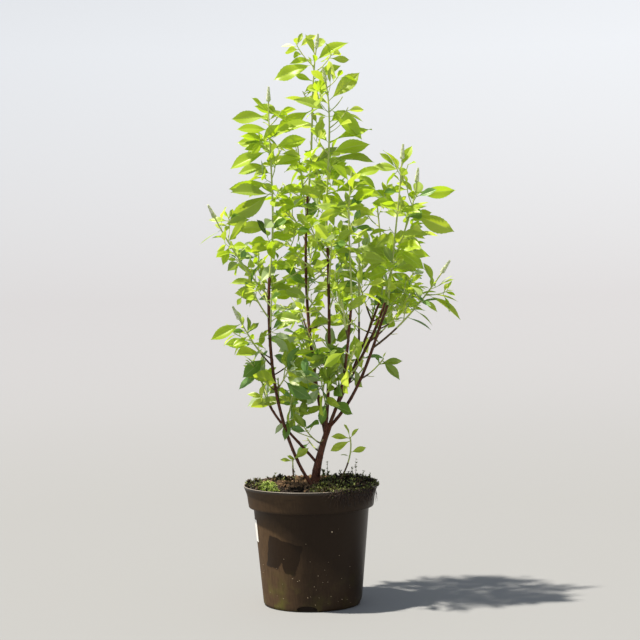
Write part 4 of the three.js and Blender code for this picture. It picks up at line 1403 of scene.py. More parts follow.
spikes = Pile()
rng = np.random.default_rng(SPIKE_SEED)
for shoot in shoots:
    if not shoot["spike"]:
        continue
    tip, heading = shoot["line"].at(1), shoot["line"].heading(1)
    middle = tip + heading * SPIKE_LENGTH * 0.5
    axis = Line(tip - heading * SPIKE_SUNK, middle, tip + heading * (SPIKE_LENGTH - 1))
    add_tube(spikes, axis, 6, 6, lambda t, turn: between(SPIKE_RADII, t))
    for index in range(BUDS_ON_SPIKE):
        t = BUDS_FROM + BUDS_SPAN * index / BUDS_ON_SPIKE
        size = between(BUD_SIZES, t) * rng.uniform(*BUD_SIZE_SPREAD)
        out = axis.outward(t, np.radians(SPIRAL * index), BUD_LIFT)
        add_bud(spikes, axis.at(t) + out * between(BUD_OUT, t), out, size, int(rng.random() < GREEN_BUDS))

# %% Finish the buds
bud_grey, tree = start_material("felted flower bud")
finish_material(tree, add_node(tree, "ShaderNodeBsdfPrincipled", {
    "Base Color": linear("#d3d9ba"), "Roughness": 0.8, "Sheen Weight": 0.5, "Sheen Roughness": 0.4,
}))
bud_green, tree = start_material("flower bud showing green")
finish_material(tree, add_node(tree, "ShaderNodeBsdfPrincipled", {
    "Base Color": linear("#b4c283"), "Roughness": 0.75, "Sheen Weight": 0.3,
}))
add_piece("bud_spikes", spikes, [bud_grey, bud_green])

# %% [markdown]
# ## The nursery pot
# A grower's pot is blown or moulded thin: a tapering wall, a wider band that stiffens it, a lip that
# flares out for the fingers and a low notch at the foot for the water. It is a turned shape, so one
# profile with its corners rounded gives the whole of it. The four notches are then cut through, as
# the mould leaves them, with a cutter whose upper edge is round.

# %% The pot's profile
FOOT_RADIUS, BODY_RADIUS, BAND_RADIUS, LIP_FOOT_RADIUS, LIP_RADIUS = 98.2, 115.5, 124.7, 128.3, 135
BAND_FOOT, LIP_FOOT, POT_HEIGHT = 196, 222, 240
POT_WALL = 2.2
INNER_BAND = BAND_FOOT + POT_WALL
# each corner's radius and height, and how far before and after it the rounding starts
POT_CORNERS = (
    (0, 0, 0), (FOOT_RADIUS, 0, 6), (BODY_RADIUS, BAND_FOOT, 1.4), (BAND_RADIUS, BAND_FOOT, 2),
    (125.4, 201, 1), (LIP_FOOT_RADIUS, LIP_FOOT, 5), (133.6, 235.4, 3), (LIP_RADIUS, POT_HEIGHT, 1.1),
    (LIP_RADIUS - POT_WALL, POT_HEIGHT, 1), (131.4, 235.6, 3), (LIP_FOOT_RADIUS - POT_WALL, LIP_FOOT, 5),
    (BAND_RADIUS - POT_WALL, INNER_BAND, 1.5), (BODY_RADIUS - POT_WALL, INNER_BAND, 1.5),
    (FOOT_RADIUS - POT_WALL, POT_WALL, 6), (0, POT_WALL, 0),
)
POT_STEP = 4
ROUND_POINTS = 6
CLOSEST_POINTS = 0.02


def wall_radius(height):
    """The outer radius of the pot's wall, which tapers from its band down to its foot."""
    return between((FOOT_RADIUS, BODY_RADIUS), height / BAND_FOOT)


def rounded_profile(corners, step):
    """The corners of a profile as a dense line, each corner rounded by a small curve."""
    corners = np.array(corners, float)
    line = [corners[0, :2]]
    for before, corner, after in zip(corners, corners[1:], corners[2:]):
        start = corner[:2] + unit(before[:2] - corner[:2]) * corner[2]
        end = corner[:2] + unit(after[:2] - corner[:2]) * corner[2]
        for t in np.linspace(0, 1, ROUND_POINTS):
            line.append((1 - t) ** 2 * start + 2 * t * (1 - t) * corner[:2] + t ** 2 * end)
    line.append(corners[-1, :2])
    dense = [line[0]]
    for start, end in zip(line, line[1:]):
        parts = max(1, int(np.ceil(np.linalg.norm(end - start) / step)))
        dense += [start + (end - start) * part / parts for part in range(1, parts + 1)]
    dense = np.array(dense)
    apart = np.linalg.norm(np.diff(dense, axis=0), axis=1) > CLOSEST_POINTS
    return dense[np.append(True, apart)]


profile = rounded_profile(POT_CORNERS, POT_STEP)
print("the pot's profile has", len(profile), "points")

# %% Turn the pot
POT_SIDES = 192
POT_WARP, WARP_TURN = 0.5, 0.8


def turned(profile, sides):
    """Points of a profile turned about the upright axis, a hair out of round towards the lip."""
    turn = np.arange(sides) * 2 * np.pi / sides
    radius = profile[:, :1] + POT_WARP * np.sin(2 * turn + WARP_TURN) * (profile[:, 1:] / POT_HEIGHT)
    height = np.broadcast_to(profile[:, 1:], radius.shape)
    return np.stack([radius * np.cos(turn), radius * np.sin(turn), height], -1)


def add_turned(pile, rings, start, end):
    """Adds rings of points as one closed skin, with a fan of faces round a point at each end."""
    count, sides = rings.shape[:2]
    here = np.arange(sides)
    beside = np.roll(here, -1)
    last = (count - 1) * sides
    middle = np.full(sides, count * sides)
    first = pile.count
    pile.add(np.vstack([rings.reshape(-1, 3), start, end]), sheet_faces(count, sides, closed=True))
    pile.faces.append((np.stack([middle, beside, here], -1) + first, 0))
    pile.faces.append((np.stack([middle + 1, here + last, beside + last], -1) + first, 0))


pot_pile = Pile()
add_turned(pot_pile, turned(profile[1:-1], POT_SIDES), (0, 0, 0), (0, 0, POT_WALL))
print("the pot has", pot_pile.count, "points before its notches")

# %% [markdown]
# Recycled polypropylene is nearly black, moulded against polished steel and so faintly glossy, with
# fine scuffs. Outdoors it takes on a dry brown film of dust and splashed compost, thickest low down,
# with a breath of green algae at the foot. Where the film lies also paints light and shadow: it is
# thick on the side that the sun lights and thin on the shaded side, it stops at a slanting line
# under the band as a painted shadow of the band, and the algae keeps to the sunlit side. On the front
# a patch has almost no film and shows the black. Its share is stored in the mesh, so that the patch
# stays in its place, and noise in the material frays its edge.

# %% The film of dust
# the side that the sun lights; the film's thickness and its slanting edge follow it as painted light and
# shadow
SUNLIT_SIDE = (-0.93, -0.36, 0)


def dust_film(tree, place, spots, height):
    """How thick the dust lies, from 0 to 1: real dust, placed as painted sunlight and shadow, and rubbed off
    the lip by hands.
    """
    # runs of dried splashes, 3 mm wide and 30 mm long
    drawn_out = add_node(tree, "ShaderNodeMapping", {"Vector": place.outputs["Object"], "Scale": (1, 1, 0.1)})
    runs = add_node(tree, "ShaderNodeTexNoise", {
        "Vector": drawn_out.outputs[0], "Scale": 1 / (3 * MM), "Detail": 3.0,
    })
    # a patch on the front with almost no film, dark as the bare plastic; its outline is stored in the mesh
    filmless = add_node(tree, "ShaderNodeAttribute", attribute_name="filmless")
    frayed = add_node(tree, "ShaderNodeMath", {0: spots.outputs[0], 1: 0.9, 2: filmless.outputs["Fac"]},
                      operation="MULTIPLY_ADD")
    kept = add_node(tree, "ShaderNodeMapRange", {
        "Value": frayed.outputs[0], "From Min": 0.85, "From Max": 1.0, "To Min": 1.0, "To Max": 0.12,
    })
    # the film reaches highest on the sunlit side and stops under the band along a slanting line: a painted
    # shadow of the band
    sunlight = add_node(tree, "ShaderNodeVectorMath", {0: place.outputs["Object"], 1: SUNLIT_SIDE},
                       operation="DOT_PRODUCT")
    shadow_line = add_node(tree, "ShaderNodeMath", {
        0: sunlight.outputs["Value"], 1: -0.9, 2: height.outputs["Z"],
    }, operation="MULTIPLY_ADD")
    low = add_node(tree, "ShaderNodeMapRange", {
        "Value": shadow_line.outputs[0], "From Min": 0.056, "From Max": 0.096, "To Min": 1.0, "To Max": 0.2,
    })
    # on the band itself, out of that painted shadow, the film comes back
    band = add_node(tree, "ShaderNodeMapRange", {
        "Value": height.outputs["Z"], "From Min": 0.192, "From Max": 0.202, "To Min": 0.0, "To Max": 0.4,
    })
    low = add_node(tree, "ShaderNodeMath", {0: low.outputs[0], 1: band.outputs[0]}, operation="ADD")
    streaked = add_node(tree, "ShaderNodeMath", {0: spots.outputs[0], 1: runs.outputs[0]}, operation="ADD")
    patchy = add_node(tree, "ShaderNodeMapRange", {
        "Value": streaked.outputs[0], "From Min": 0.75, "From Max": 1.25, "To Min": 0.6, "To Max": 1.0,
    })
    # the sunlit side carries most of the film and the shaded side little, painted light and shade, and hands
    # have rubbed the lip clean
    side = add_node(tree, "ShaderNodeMapRange", {
        "Value": sunlight.outputs["Value"], "From Min": 0.042, "From Max": 0.096,
        "To Min": 0.24, "To Max": 1.0,
    }, interpolation_type="SMOOTHSTEP")
    rubbed = add_node(tree, "ShaderNodeMapRange", {
        "Value": height.outputs["Z"], "From Min": 0.233, "From Max": 0.238, "To Min": 1.0, "To Max": 0.2,
    })
    film = low
    for share in (patchy, kept, side, rubbed):
        film = add_node(tree, "ShaderNodeMath", {0: film.outputs[0], 1: share.outputs[0]},
                        operation="MULTIPLY")
    return film, side, rubbed


def algae_share(tree, place, height, side):
    """A breath of green algae, in clumps at the foot, kept to the sunlit side by the film's painted light."""
    foot = add_node(tree, "ShaderNodeMapRange", {
        "Value": height.outputs["Z"], "From Min": 0.01, "From Max": 0.085, "To Min": 0.6, "To Max": 0.0,
    })
    clumps = add_node(tree, "ShaderNodeTexNoise", {
        "Vector": place.outputs["Object"], "Scale": 1 / (26 * MM), "Detail": 5.0,
    })
    algae = add_node(tree, "ShaderNodeMapRange", {
        "Value": clumps.outputs[0], "From Min": 0.48, "From Max": 0.68, "To Min": 0.0, "To Max": 1.0,
    })
    greened = add_node(tree, "ShaderNodeMath", {0: foot.outputs[0], 1: algae.outputs[0]},
                       operation="MULTIPLY")
    return add_node(tree, "ShaderNodeMath", {0: greened.outputs[0], 1: side.outputs[0]},
                    operation="MULTIPLY")


# the film follows this sunlit side as painted light and shadow
print("the weather comes from", SUNLIT_SIDE)

# %% The pot's plastic
def pot_material():
    """Black plastic under its film, matt where the dust lies and glossy where it is clean."""
    material, tree = start_material("moulded polypropylene, weathered outdoors")
    place = add_node(tree, "ShaderNodeTexCoord")
    spots = add_node(tree, "ShaderNodeTexNoise", {
        "Vector": place.outputs["Object"], "Scale": 1 / (14 * MM), "Detail": 8.0, "Roughness": 0.65,
    })
    height = add_node(tree, "ShaderNodeSeparateXYZ", {"Vector": place.outputs["Object"]})
    # side is the film's painted light: 1 on the sunlit side, less on the shaded side
    film, side, rubbed = dust_film(tree, place, spots, height)
    plastic = add_node(tree, "ShaderNodeMix", {
        0: film.outputs[0], 6: linear("#20160d"), 7: linear("#574532"),
    }, data_type="RGBA")
    greened = algae_share(tree, place, height, side)
    colour = add_node(tree, "ShaderNodeMix", {
        0: greened.outputs[0], 6: plastic.outputs[2], 7: linear("#5f6128"),
    }, data_type="RGBA")
    # the top of the lip is painted pale, partly scuffs from stacking pots in one another and partly a painted
    # highlight along its edge
    lip_scuffs_and_highlight = add_node(tree, "ShaderNodeMapRange", {
        "Value": height.outputs["Z"], "From Min": 0.2388, "From Max": 0.2396, "To Min": 0.0, "To Max": 0.8,
    })
    colour = add_node(tree, "ShaderNodeMix", {
        0: lip_scuffs_and_highlight.outputs[0], 6: colour.outputs[2], 7: linear("#9a938a"),
    }, data_type="RGBA")
    gloss = add_node(tree, "ShaderNodeMapRange", {
        "Value": rubbed.outputs[0], "From Min": 0.2, "From Max": 1.0, "To Min": 0.5, "To Max": 0.13,
    })
    rough = add_node(tree, "ShaderNodeMapRange", {
        "Value": film.outputs[0], "From Min": 0.0, "From Max": 0.7, "To Min": 0.33, "To Max": 0.75,
    })
    # scuffs and grains of dust about half a millimetre across
    grit = add_node(tree, "ShaderNodeTexNoise", {
        "Vector": place.outputs["Object"], "Scale": 1 / (0.5 * MM), "Detail": 4.0,
    })
    relief = add_node(tree, "ShaderNodeBump", {
        "Height": grit.outputs[0], "Strength": 0.25, "Distance": 0.15 * MM,
    })
    finish_material(tree, add_node(tree, "ShaderNodeBsdfPrincipled", {
        "Base Color": colour.outputs[2], "Roughness": rough.outputs[0], "IOR": 1.49,
        "Specular IOR Level": gloss.outputs[0], "Normal": relief.outputs[0],
    }))
    return material


pot = add_piece("nursery_pot", pot_pile, [pot_material()], replaces=["pot"])

# %% Cut the notches
DRAIN_WIDTH, DRAIN_HEIGHT, DRAIN_DEPTH = 41, 12, 16
DRAIN_COUNT, DRAIN_TURN = 4, -96.5
DRAIN_BELOW = 5
DRAIN_POINTS = 12


def notch_cutter():
    """A block through the corner of wall and base, with a round upper edge."""
    half = DRAIN_WIDTH / 2
    arc = np.linspace(0, np.pi, DRAIN_POINTS)
    outline = np.stack([half * np.cos(arc), DRAIN_HEIGHT * np.sin(arc) ** 0.5], -1)
    outline = np.vstack([outline, [[-half, -DRAIN_BELOW], [half, -DRAIN_BELOW]]])
    reaches = (FOOT_RADIUS - DRAIN_DEPTH / 2, FOOT_RADIUS + DRAIN_DEPTH / 2)
    sides = [np.insert(outline, 0, reach, axis=1) for reach in reaches]
    rows = len(outline)
    walls = sheet_faces(2, rows, closed=True).tolist()
    mesh = bpy.data.meshes.new("notch")
    mesh.from_pydata((np.vstack(sides) * MM).tolist(), [],
                     walls + [list(range(rows))[::-1], list(range(rows, 2 * rows))])
    return bpy.data.objects.new("notch", mesh)


for number in range(DRAIN_COUNT):
    cutter = notch_cutter()
    cutter.rotation_euler.z = np.radians(DRAIN_TURN + number * 360 / DRAIN_COUNT)
    bpy.context.collection.objects.link(cutter)
    cut = pot.modifiers.new("notch", "BOOLEAN")
    cut.operation, cut.solver, cut.object = "DIFFERENCE", "EXACT", cutter
    bpy.context.view_layer.objects.active = pot
    bpy.ops.object.modifier_apply(modifier=cut.name)
    bpy.data.objects.remove(cutter)
print("pot", len(pot.data.vertices), "points after the notches")

# %% Mark a patch with almost no film
# the patch's outline: bearing round the pot in degrees, and height
FILMLESS_PATCH = (
    (-138.5, 150), (-98.8, 131), (-102.4, 105), (-108.6, 71), (-120.3, 77.5), (-123.3, 97),
    (-129.3, 82), (-147.2, 88), (-142.3, 121),
)
UNROLLED_AT = 107
WALL_DEPTH = 1.5
PATCH_EDGE = 16


def inside_distance(points, outline):
    """How far inside an outline each point lies, negative outside it."""
    following = np.roll(outline, -1, axis=0)
    edge = following - outline
    offset = points[:, None] - outline
    share = np.clip((offset * edge).sum(-1) / (edge ** 2).sum(-1), 0, 1)
    distance = np.linalg.norm(offset - share[..., None] * edge, axis=-1).min(1)
    crosses = (outline[:, 1] > points[:, None, 1]) != (following[:, 1] > points[:, None, 1])
    rise = np.where(edge[:, 1] == 0, 1, edge[:, 1])
    reach = outline[:, 0] + (points[:, None, 1] - outline[:, 1]) / rise * edge[:, 0]
    inside = (crosses & (points[:, None, 0] < reach)).sum(1) % 2 == 1
    return np.where(inside, distance, -distance)


corners = np.empty(len(pot.data.vertices) * 3)
pot.data.vertices.foreach_get("co", corners)
corners = corners.reshape(-1, 3) / MM
bearing = np.arctan2(corners[:, 1], corners[:, 0])
outer = np.hypot(corners[:, 0], corners[:, 1]) > wall_radius(corners[:, 2]) - WALL_DEPTH
outline = np.array([(np.radians(degrees) * UNROLLED_AT, height) for degrees, height in FILMLESS_PATCH])
depth = inside_distance(np.stack([bearing * UNROLLED_AT, corners[:, 2]], -1), outline)
filmless_share = np.where(outer, np.clip(0.5 + depth / PATCH_EDGE, 0, 1), 0)
# the patch darkens the wall to the bare black plastic
filmless = pot.data.attributes.new("filmless", "FLOAT", "POINT")
filmless.data.foreach_set("value", filmless_share)
print(int((filmless_share > 0.5).sum()), "points of the wall are wiped clean")

# %% [markdown]
# Rain splashes sand up the wall, and most of it dries low down. Painted grains look flat in slanting
# light, so these are real lumps. One larger pale dot stands out on the front of the wall.

# %% Stick grit on the wall
CORNER_REACH, CORNER_SPREAD = 0.62, (0.65, 1.25)
GRIT_COUNT = 130
GRIT_SIZE = (0.35, 0.95)
GRIT_FOOT, GRIT_REACH = 3, 190
GRIT_PROUD = 0.1
DOT_BEARING, DOT_HEIGHT, DOT_RADIUS, DOT_PROUD = -69, 159, 1.7, 0.9
GRIT_SEED = 53


def add_lump(pile, middle, size, rng, slot, flat=1.0):
    """A crumb: an eight-cornered lump with its corners pushed about."""
    corners = np.array([(x, y, z) for x in (-1, 1) for y in (-1, 1) for z in (-1, 1)], float) * CORNER_REACH
    corners *= rng.uniform(*CORNER_SPREAD, (8, 3)) * size * np.array([1, 1, flat])
    turn = np.array(Matrix.Rotation(rng.uniform(0, 6.28), 3, rng.normal(size=3)))
    faces = [(0, 1, 3, 2), (4, 6, 7, 5), (0, 4, 5, 1), (2, 3, 7, 6), (0, 2, 6, 4), (1, 5, 7, 3)]
    pile.add(corners @ turn.T + middle, faces, slot)


grit = Pile()
rng = np.random.default_rng(GRIT_SEED)
for _ in range(GRIT_COUNT):
    turn, height = rng.uniform(0, 2 * np.pi), GRIT_REACH * rng.beta(1, 2.2) + GRIT_FOOT
    radius = wall_radius(height) + GRIT_PROUD
    add_lump(grit, (radius * np.cos(turn), radius * np.sin(turn), height), rng.uniform(*GRIT_SIZE), rng, 0)
dot_heading = heading_of(DOT_BEARING, 0)
dot_foot = dot_heading * wall_radius(DOT_HEIGHT) + (0, 0, DOT_HEIGHT)
dot_line = Line(dot_foot, dot_foot + dot_heading * DOT_PROUD)
add_tube(grit, dot_line, 2, 12, lambda t, turn: DOT_RADIUS * (1 - 0.4 * t))
dry_grit, tree = start_material("dry sand and chalk")
finish_material(tree, add_node(tree, "ShaderNodeBsdfPrincipled", {
    "Base Color": linear("#a2937c"), "Roughness": 0.9, "Specular IOR Level": 0.2,
}))
add_piece("grit", grit, [dry_grit], smooth=False)

# %% [markdown]
# ## Compost
# The pot is filled nearly to its lip with peat and composted bark. Its top is crumbs of every size,
# and it has sunk at the front where watering washes it away from the wall. The crumbs and chips in
# that hollow are painted dark, a painted shade. A displaced disc gives the large form, and loose
# crumbs, chips and rootlets on it give the broken edge that light catches.

# %% Fill the pot
SOIL_SIDES = 120
SOIL_RINGS = 56
SOIL_REACH, SOIL_EDGE = 126, 129.6
SOIL_WALL = ((94, 3), (112.6, 199), (122, 199), (126, 222))
SOIL_CROWN = 238.5
EDGE_DROP, EDGE_FROM, EDGE_WIDTH = 7, 105, 25
BUMP_HEIGHT, BUMP_SIZE = 2.4, 22
SINK_PLACE, SINK_SIZE, SINK_DEPTH = (-30, -88), (46, 42), 13


def sink_share(x, y):
    """How deep in the sunken place a point lies, from 0 to 1."""
    off_x, off_y = (x - SINK_PLACE[0]) / SINK_SIZE[0], (y - SINK_PLACE[1]) / SINK_SIZE[1]
    return np.exp(-off_x ** 2 - off_y ** 2)


def soil_height(x, y):
    """The height of the compost's top under a point."""
    crown = SOIL_CROWN - EDGE_DROP * np.clip((np.hypot(x, y) - EDGE_FROM) / EDGE_WIDTH, 0, 1) ** 1.5
    bumps = BUMP_HEIGHT * noise.fractal(Vector((x, y, 0)) / BUMP_SIZE, 1, 2, 5)
    return crown - SINK_DEPTH * sink_share(x, y) + bumps


compost = Pile()
around = np.arange(SOIL_SIDES) * 2 * np.pi / SOIL_SIDES
rows = [[(radius * np.cos(turn), radius * np.sin(turn), height) for turn in around]
        for radius, height in SOIL_WALL]
for radius in np.append(np.linspace(0, SOIL_REACH, SOIL_RINGS)[1:], SOIL_EDGE)[::-1]:
    rows.append([(x, y, soil_height(x, y)) for x, y in zip(radius * np.cos(around), radius * np.sin(around))])
add_turned(compost, np.array(rows), (0, 0, SOIL_WALL[0][1]), (0, 0, soil_height(0, 0)))
print("the compost is deepest at", round(soil_height(*SINK_PLACE)), "mm and highest near", SOIL_CROWN, "mm")

# %% Scatter crumbs and chips
CRUMBS, CRUMB_REACH = 1900, 127
SMALLEST_CRUMB, LARGEST_CRUMB = 0.7, 5.5
CHIPS, CHIP_REACH, CHIP_SIZE, CHIP_FLAT = 190, 122, (4, 9), 0.25
CRUMB_SEED = 71


def place_on_soil(rng, reach):
    """A random place on the compost, evenly spread."""
    radius, turn = reach * np.sqrt(rng.random()), rng.uniform(0, 2 * np.pi)
    return radius * np.cos(turn), radius * np.sin(turn)


rng = np.random.default_rng(CRUMB_SEED)
for _ in range(CRUMBS):
    x, y = place_on_soil(rng, CRUMB_REACH)
    size = min(rng.gamma(2.0, 1.0) + SMALLEST_CRUMB, LARGEST_CRUMB)
    # crumbs in the sunken place take the darkest peat: painted shade, deeper than the hollow casts
    in_painted_shade = rng.random() < 1.5 * sink_share(x, y)
    slot = 0 if in_painted_shade else rng.integers(1, 4)
    add_lump(compost, (x, y, soil_height(x, y) + size * 0.25), size, rng, slot)
for _ in range(CHIPS):
    x, y = place_on_soil(rng, CHIP_REACH)
    size = rng.uniform(*CHIP_SIZE)
    # chips in the hollow are darkened the same way, as painted shade
    slot = 0 if sink_share(x, y) > 0.4 else 3
    add_lump(compost, (x, y, soil_height(x, y) + 1), size, rng, slot, flat=CHIP_FLAT)
compost_materials = []
# the first tint is the painted shade of the hollow; the others are the compost's own colours
for name, tint in (("moist peat", "#1c130c"), ("crumbled peat", "#3d3022"), ("dry peat", "#5e4b37"),
                   ("composted bark", "#6f5943")):
    material, tree = start_material(name)
    finish_material(tree, add_node(tree, "ShaderNodeBsdfPrincipled", {
        "Base Color": linear(tint), "Roughness": 0.92, "Specular IOR Level": 0.3,
    }))
    compost_materials.append(material)
add_piece("compost", compost, compost_materials, replaces=["soil"], smooth=False)

# %% [markdown]
# ## Moss and weeds
# Moss is thousands of tiny leafy shoots that stand shoulder to shoulder. Seen from a step away it is
# a fuzzy cushion whose edge is broken. Each shoot here is a star of small blades, set on a bumpy
# cushion of the right form. The tuft at the front left is fresh and bright. The rest is older, dark
# and half dried, and mixed with small creeping weeds that make it lumpy: on the right it spreads from
# the trunk to the lip and over it.

# %% The moss's cushions
# a dome is its middle, its two radii, its height and the share of its moss that is dead
BRIGHT_MOSS = dict(
    domes=(((-84, -60), (18, 22), 12, 0), ((-72, -82), (10, 10), 8, 0)),
    tuft=(4, 9), lumpy=9, crowd=0.2, slots=(0, 1, 1, 2, 2, 3), seed=91,
)
OLD_MOSS = dict(
    domes=(((-112, -14), (18, 22), 9, 0.3), ((-104, -52), (18, 22), 3, 0.3), ((72, 34), (50, 44), 5, 0.5),
           ((112, 6), (24, 38), 4, 0.6), ((38, -66), (36, 42), 5, 0.1), ((82, -58), (40, 44), 5, 0.6),
           ((-62, 52), (30, 24), 1, 0.6)),
    tuft=(3.5, 13), lumpy=17, crowd=0.15, slots=(0, 1, 1, 1, 2, 3, 3, 4), seed=89,
)
GROUND = 240.3
SUNK_SHARE = 0.7
CUSHION_RINGS, CUSHION_SIDES = 9, 28
CUSHION_SUNK, MOSS_SUNK = 1.5, 1.2
MOSS_REACH = 131
CLUMP_SIZE = 9


def dome_height(dome, lumpy, x, y):
    """The height of a cushion's bumpy top over a point. It follows the compost where that has sunk."""
    (middle_x, middle_y), (radius_x, radius_y), height, _ = dome
    share = np.hypot((x - middle_x) / radius_x, (y - middle_y) / radius_y)
    clumps = lumpy * noise.noise(Vector((x, y, 3)) / CLUMP_SIZE)
    sunk = SUNK_SHARE * (POT_HEIGHT - soil_height(x, y)) if np.hypot(x, y) < SOIL_REACH else 0
    return GROUND - sunk + (height + clumps) * np.sqrt(max(0.0, 1 - share ** 2))


def add_cushion(pile, dome, lumpy):
    """Adds the cushion itself, held inside the pot's lip."""
    (middle_x, middle_y), (radius_x, radius_y), _, _ = dome
    turn = np.arange(CUSHION_SIDES) * 2 * np.pi / CUSHION_SIDES
    rows = []
    for share in np.linspace(0.02, 1, CUSHION_RINGS)[::-1]:
        x, y = middle_x + radius_x * share * np.cos(turn), middle_y + radius_y * share * np.sin(turn)
        pull = np.minimum(1, MOSS_REACH / np.hypot(x, y))
        places = zip(x * pull, y * pull)
        rows.append([(px, py, dome_height(dome, lumpy, px, py) - CUSHION_SUNK) for px, py in places])
    pile.add(rows, sheet_faces(CUSHION_RINGS, CUSHION_SIDES, closed=True), 0)


print(len(BRIGHT_MOSS["domes"]), "bright cushions and", len(OLD_MOSS["domes"]), "old ones")

# %% Stars of small blades
MOSS_TURN = 2.4
BLADE_RISE, BLADE_SIZE, BLADE_SLIM = (0.3, 1.3), (0.6, 1.1), (0.1, 0.2)
BLADE_DROOP = 0.12
MOSS_SPILL = 1.04
DEAD_SIZE = 0.7
DEAD_SLOTS = (0, 3)
LUMP_SHARE = 0.3


def add_tuft(pile, foot, size, rng, slots):
    """A star of small blades, each turned on from the last by the same step."""
    blades = rng.integers(5, 8)
    start = rng.uniform(0, 2 * np.pi)
    for blade in range(blades):
        turn = start + blade * MOSS_TURN
        rise = rng.uniform(*BLADE_RISE)
        heading = np.array([np.cos(turn) * np.cos(rise), np.sin(turn) * np.cos(rise), np.sin(rise)])
        length = size * rng.uniform(*BLADE_SIZE)
        across = np.array([-np.sin(turn), np.cos(turn), 0]) * length * rng.uniform(*BLADE_SLIM)
        middle = foot + heading * length * 0.5
        tip = foot + heading * length - (0, 0, BLADE_DROOP * length)
        pile.add([foot, middle + across, tip, middle - across], [(0, 1, 2, 3)], rng.choice(slots))


def add_moss(pile, dome, tuft, lumpy, crowd, slots, rng):
    """Covers a cushion with moss, some of it dead, and with crumbs in the dead places."""
    (middle_x, middle_y), (radius_x, radius_y), _, crumbled = dome
    for _ in range(int(crowd * np.pi * radius_x * radius_y)):
        share, turn = np.sqrt(rng.random()) * MOSS_SPILL, rng.uniform(0, 2 * np.pi)
        x, y = middle_x + radius_x * share * np.cos(turn), middle_y + radius_y * share * np.sin(turn)
        if np.hypot(x, y) < MOSS_REACH:
            foot = np.array([x, y, dome_height(dome, lumpy, x, y) - MOSS_SUNK])
            size = between(tuft, rng.random() ** 2)
            dead = rng.random() < crumbled
            add_tuft(pile, foot, size * (DEAD_SIZE if dead else 1), rng, DEAD_SLOTS if dead else slots)
            if rng.random() < crumbled * LUMP_SHARE:
                add_lump(pile, foot + (0, 0, 2), rng.uniform(2, 5), rng, rng.choice(DEAD_SLOTS))


def grow_moss(domes, tuft, lumpy, crowd, slots, seed):
    """Grows one kind of moss on all its cushions."""
    rng = np.random.default_rng(seed)
    pile = Pile()
    for dome in domes:
        add_cushion(pile, dome, lumpy)
        add_moss(pile, dome, tuft, lumpy, crowd, slots, rng)
    return pile


bright_pile, old_pile = grow_moss(**BRIGHT_MOSS), grow_moss(**OLD_MOSS)
print(bright_pile.count, "points of bright moss and", old_pile.count, "of old moss")

# %% Finish the moss
MOSS_THROUGH = 0.3


def moss_materials(name, tints):
    """One material for each kind of blade, which lets some light through."""
    made = []
    for place, tint in tints.items():
        material, tree = start_material(f"{name}, {place}")
        surface = add_node(tree, "ShaderNodeBsdfPrincipled", {"Base Color": linear(tint), "Roughness": 0.7})
        glow = add_node(tree, "ShaderNodeBsdfTranslucent", {"Color": linear(tint)})
        finish_material(tree, add_node(tree, "ShaderNodeMixShader", {
            0: MOSS_THROUGH, 1: surface.outputs[0], 2: glow.outputs[0],
        }))
        made.append(material)
    return made


# the base tint colours the cushion under the blades near black, as painted shade in the gaps between the
# shoots
bright = moss_materials("fresh moss", {
    "base": "#20260e", "blade": "#94ac48", "tip": "#c3d47c", "old": "#64792f",
})
dark = moss_materials("old moss", {
    "base": "#17120b", "blade": "#454b26", "tip": "#74803f", "old": "#42311f", "pale leaf": "#a9b46c",
})
add_piece("moss_bright", bright_pile, bright, replaces=["bright_moss"])
add_piece("moss_dark", old_pile, dark, replaces=["left_moss", "right_moss"])

# %% [markdown]
# Over the right of the lip the moss hangs down with a beard of thin brown roots, and clumps of it
# sit on the lip itself. Each root is a thin stiff tube with scraps of moss and crumbs caught in it.

# %% Hang the moss's roots over the lip
BEARD_SPAN = (-68, -24)
BEARD_STRANDS = 360
BEARD_LEAN = 0.05
LONGEST_ROOT = 34
OVER_LIP = ((124, 239), (133, 244), (137.5, 241))
ROOT_HANG, ROOT_HANG_SPREAD = 134.5, 2.5
ROOT_RADIUS, ROOT_TAPER = (0.4, 1), 0.6
BEARD_SEED = 97

beard = Pile()
rng = np.random.default_rng(BEARD_SEED)
for _ in range(BEARD_STRANDS):
    turn = np.radians(between(BEARD_SPAN, rng.beta(2, 2)))
    lean = rng.normal(0, BEARD_LEAN)
    drop = min(rng.gamma(3.0, 5.0) + 4, LONGEST_ROOT)
    stations = (*OVER_LIP, (ROOT_HANG + rng.uniform(0, ROOT_HANG_SPREAD), POT_HEIGHT - drop))
    line = Line(*[
        (radius * np.cos(turn + lean * step), radius * np.sin(turn + lean * step),
         height + rng.normal(0, 0.8))
        for step, (radius, height) in enumerate(stations)
    ])
    thick = rng.uniform(*ROOT_RADIUS)
    root_radius = lambda t, around, thick=thick: thick * (1 - ROOT_TAPER * t)
    add_tube(beard, line, 7, 4, root_radius, slot=int(rng.random() < 0.5))
    if rng.random() < 0.8:
        add_tuft(beard, line.at(rng.uniform(0.15, 0.8)), rng.uniform(2.5, 5.5), rng, (0, 1, 2, 3))
    if rng.random() < 0.5:
        add_lump(beard, line.at(rng.uniform(0.2, 0.95)), rng.uniform(0.8, 3), rng, 1)
print(BEARD_STRANDS, "roots,", beard.count, "points")

# %% Set clumps on the lip
LIP_SPAN = (-84, -2)
LIP_CLUMPS = 330
LIP_REACH = (121, 136)
for _ in range(LIP_CLUMPS):
    turn = np.radians(between(LIP_SPAN, rng.beta(2.4, 1.6)))
    radius = rng.uniform(*LIP_REACH)
    foot = np.array([radius * np.cos(turn), radius * np.sin(turn), POT_HEIGHT - 1 + rng.uniform(0, 3)])
    add_tuft(beard, foot, rng.uniform(3, 6.5), rng, (2, 2, 3, 4, 0))
    if rng.random() < 0.25:
        add_lump(beard, foot, rng.uniform(1.5, 4), rng, 1)
print(LIP_CLUMPS, "clumps on the lip")

# %% [markdown]
# A few weeds stand up from the moss on hair-thin stalks with small dark leaves. Each leaf is a star of
# blades, as in the moss.

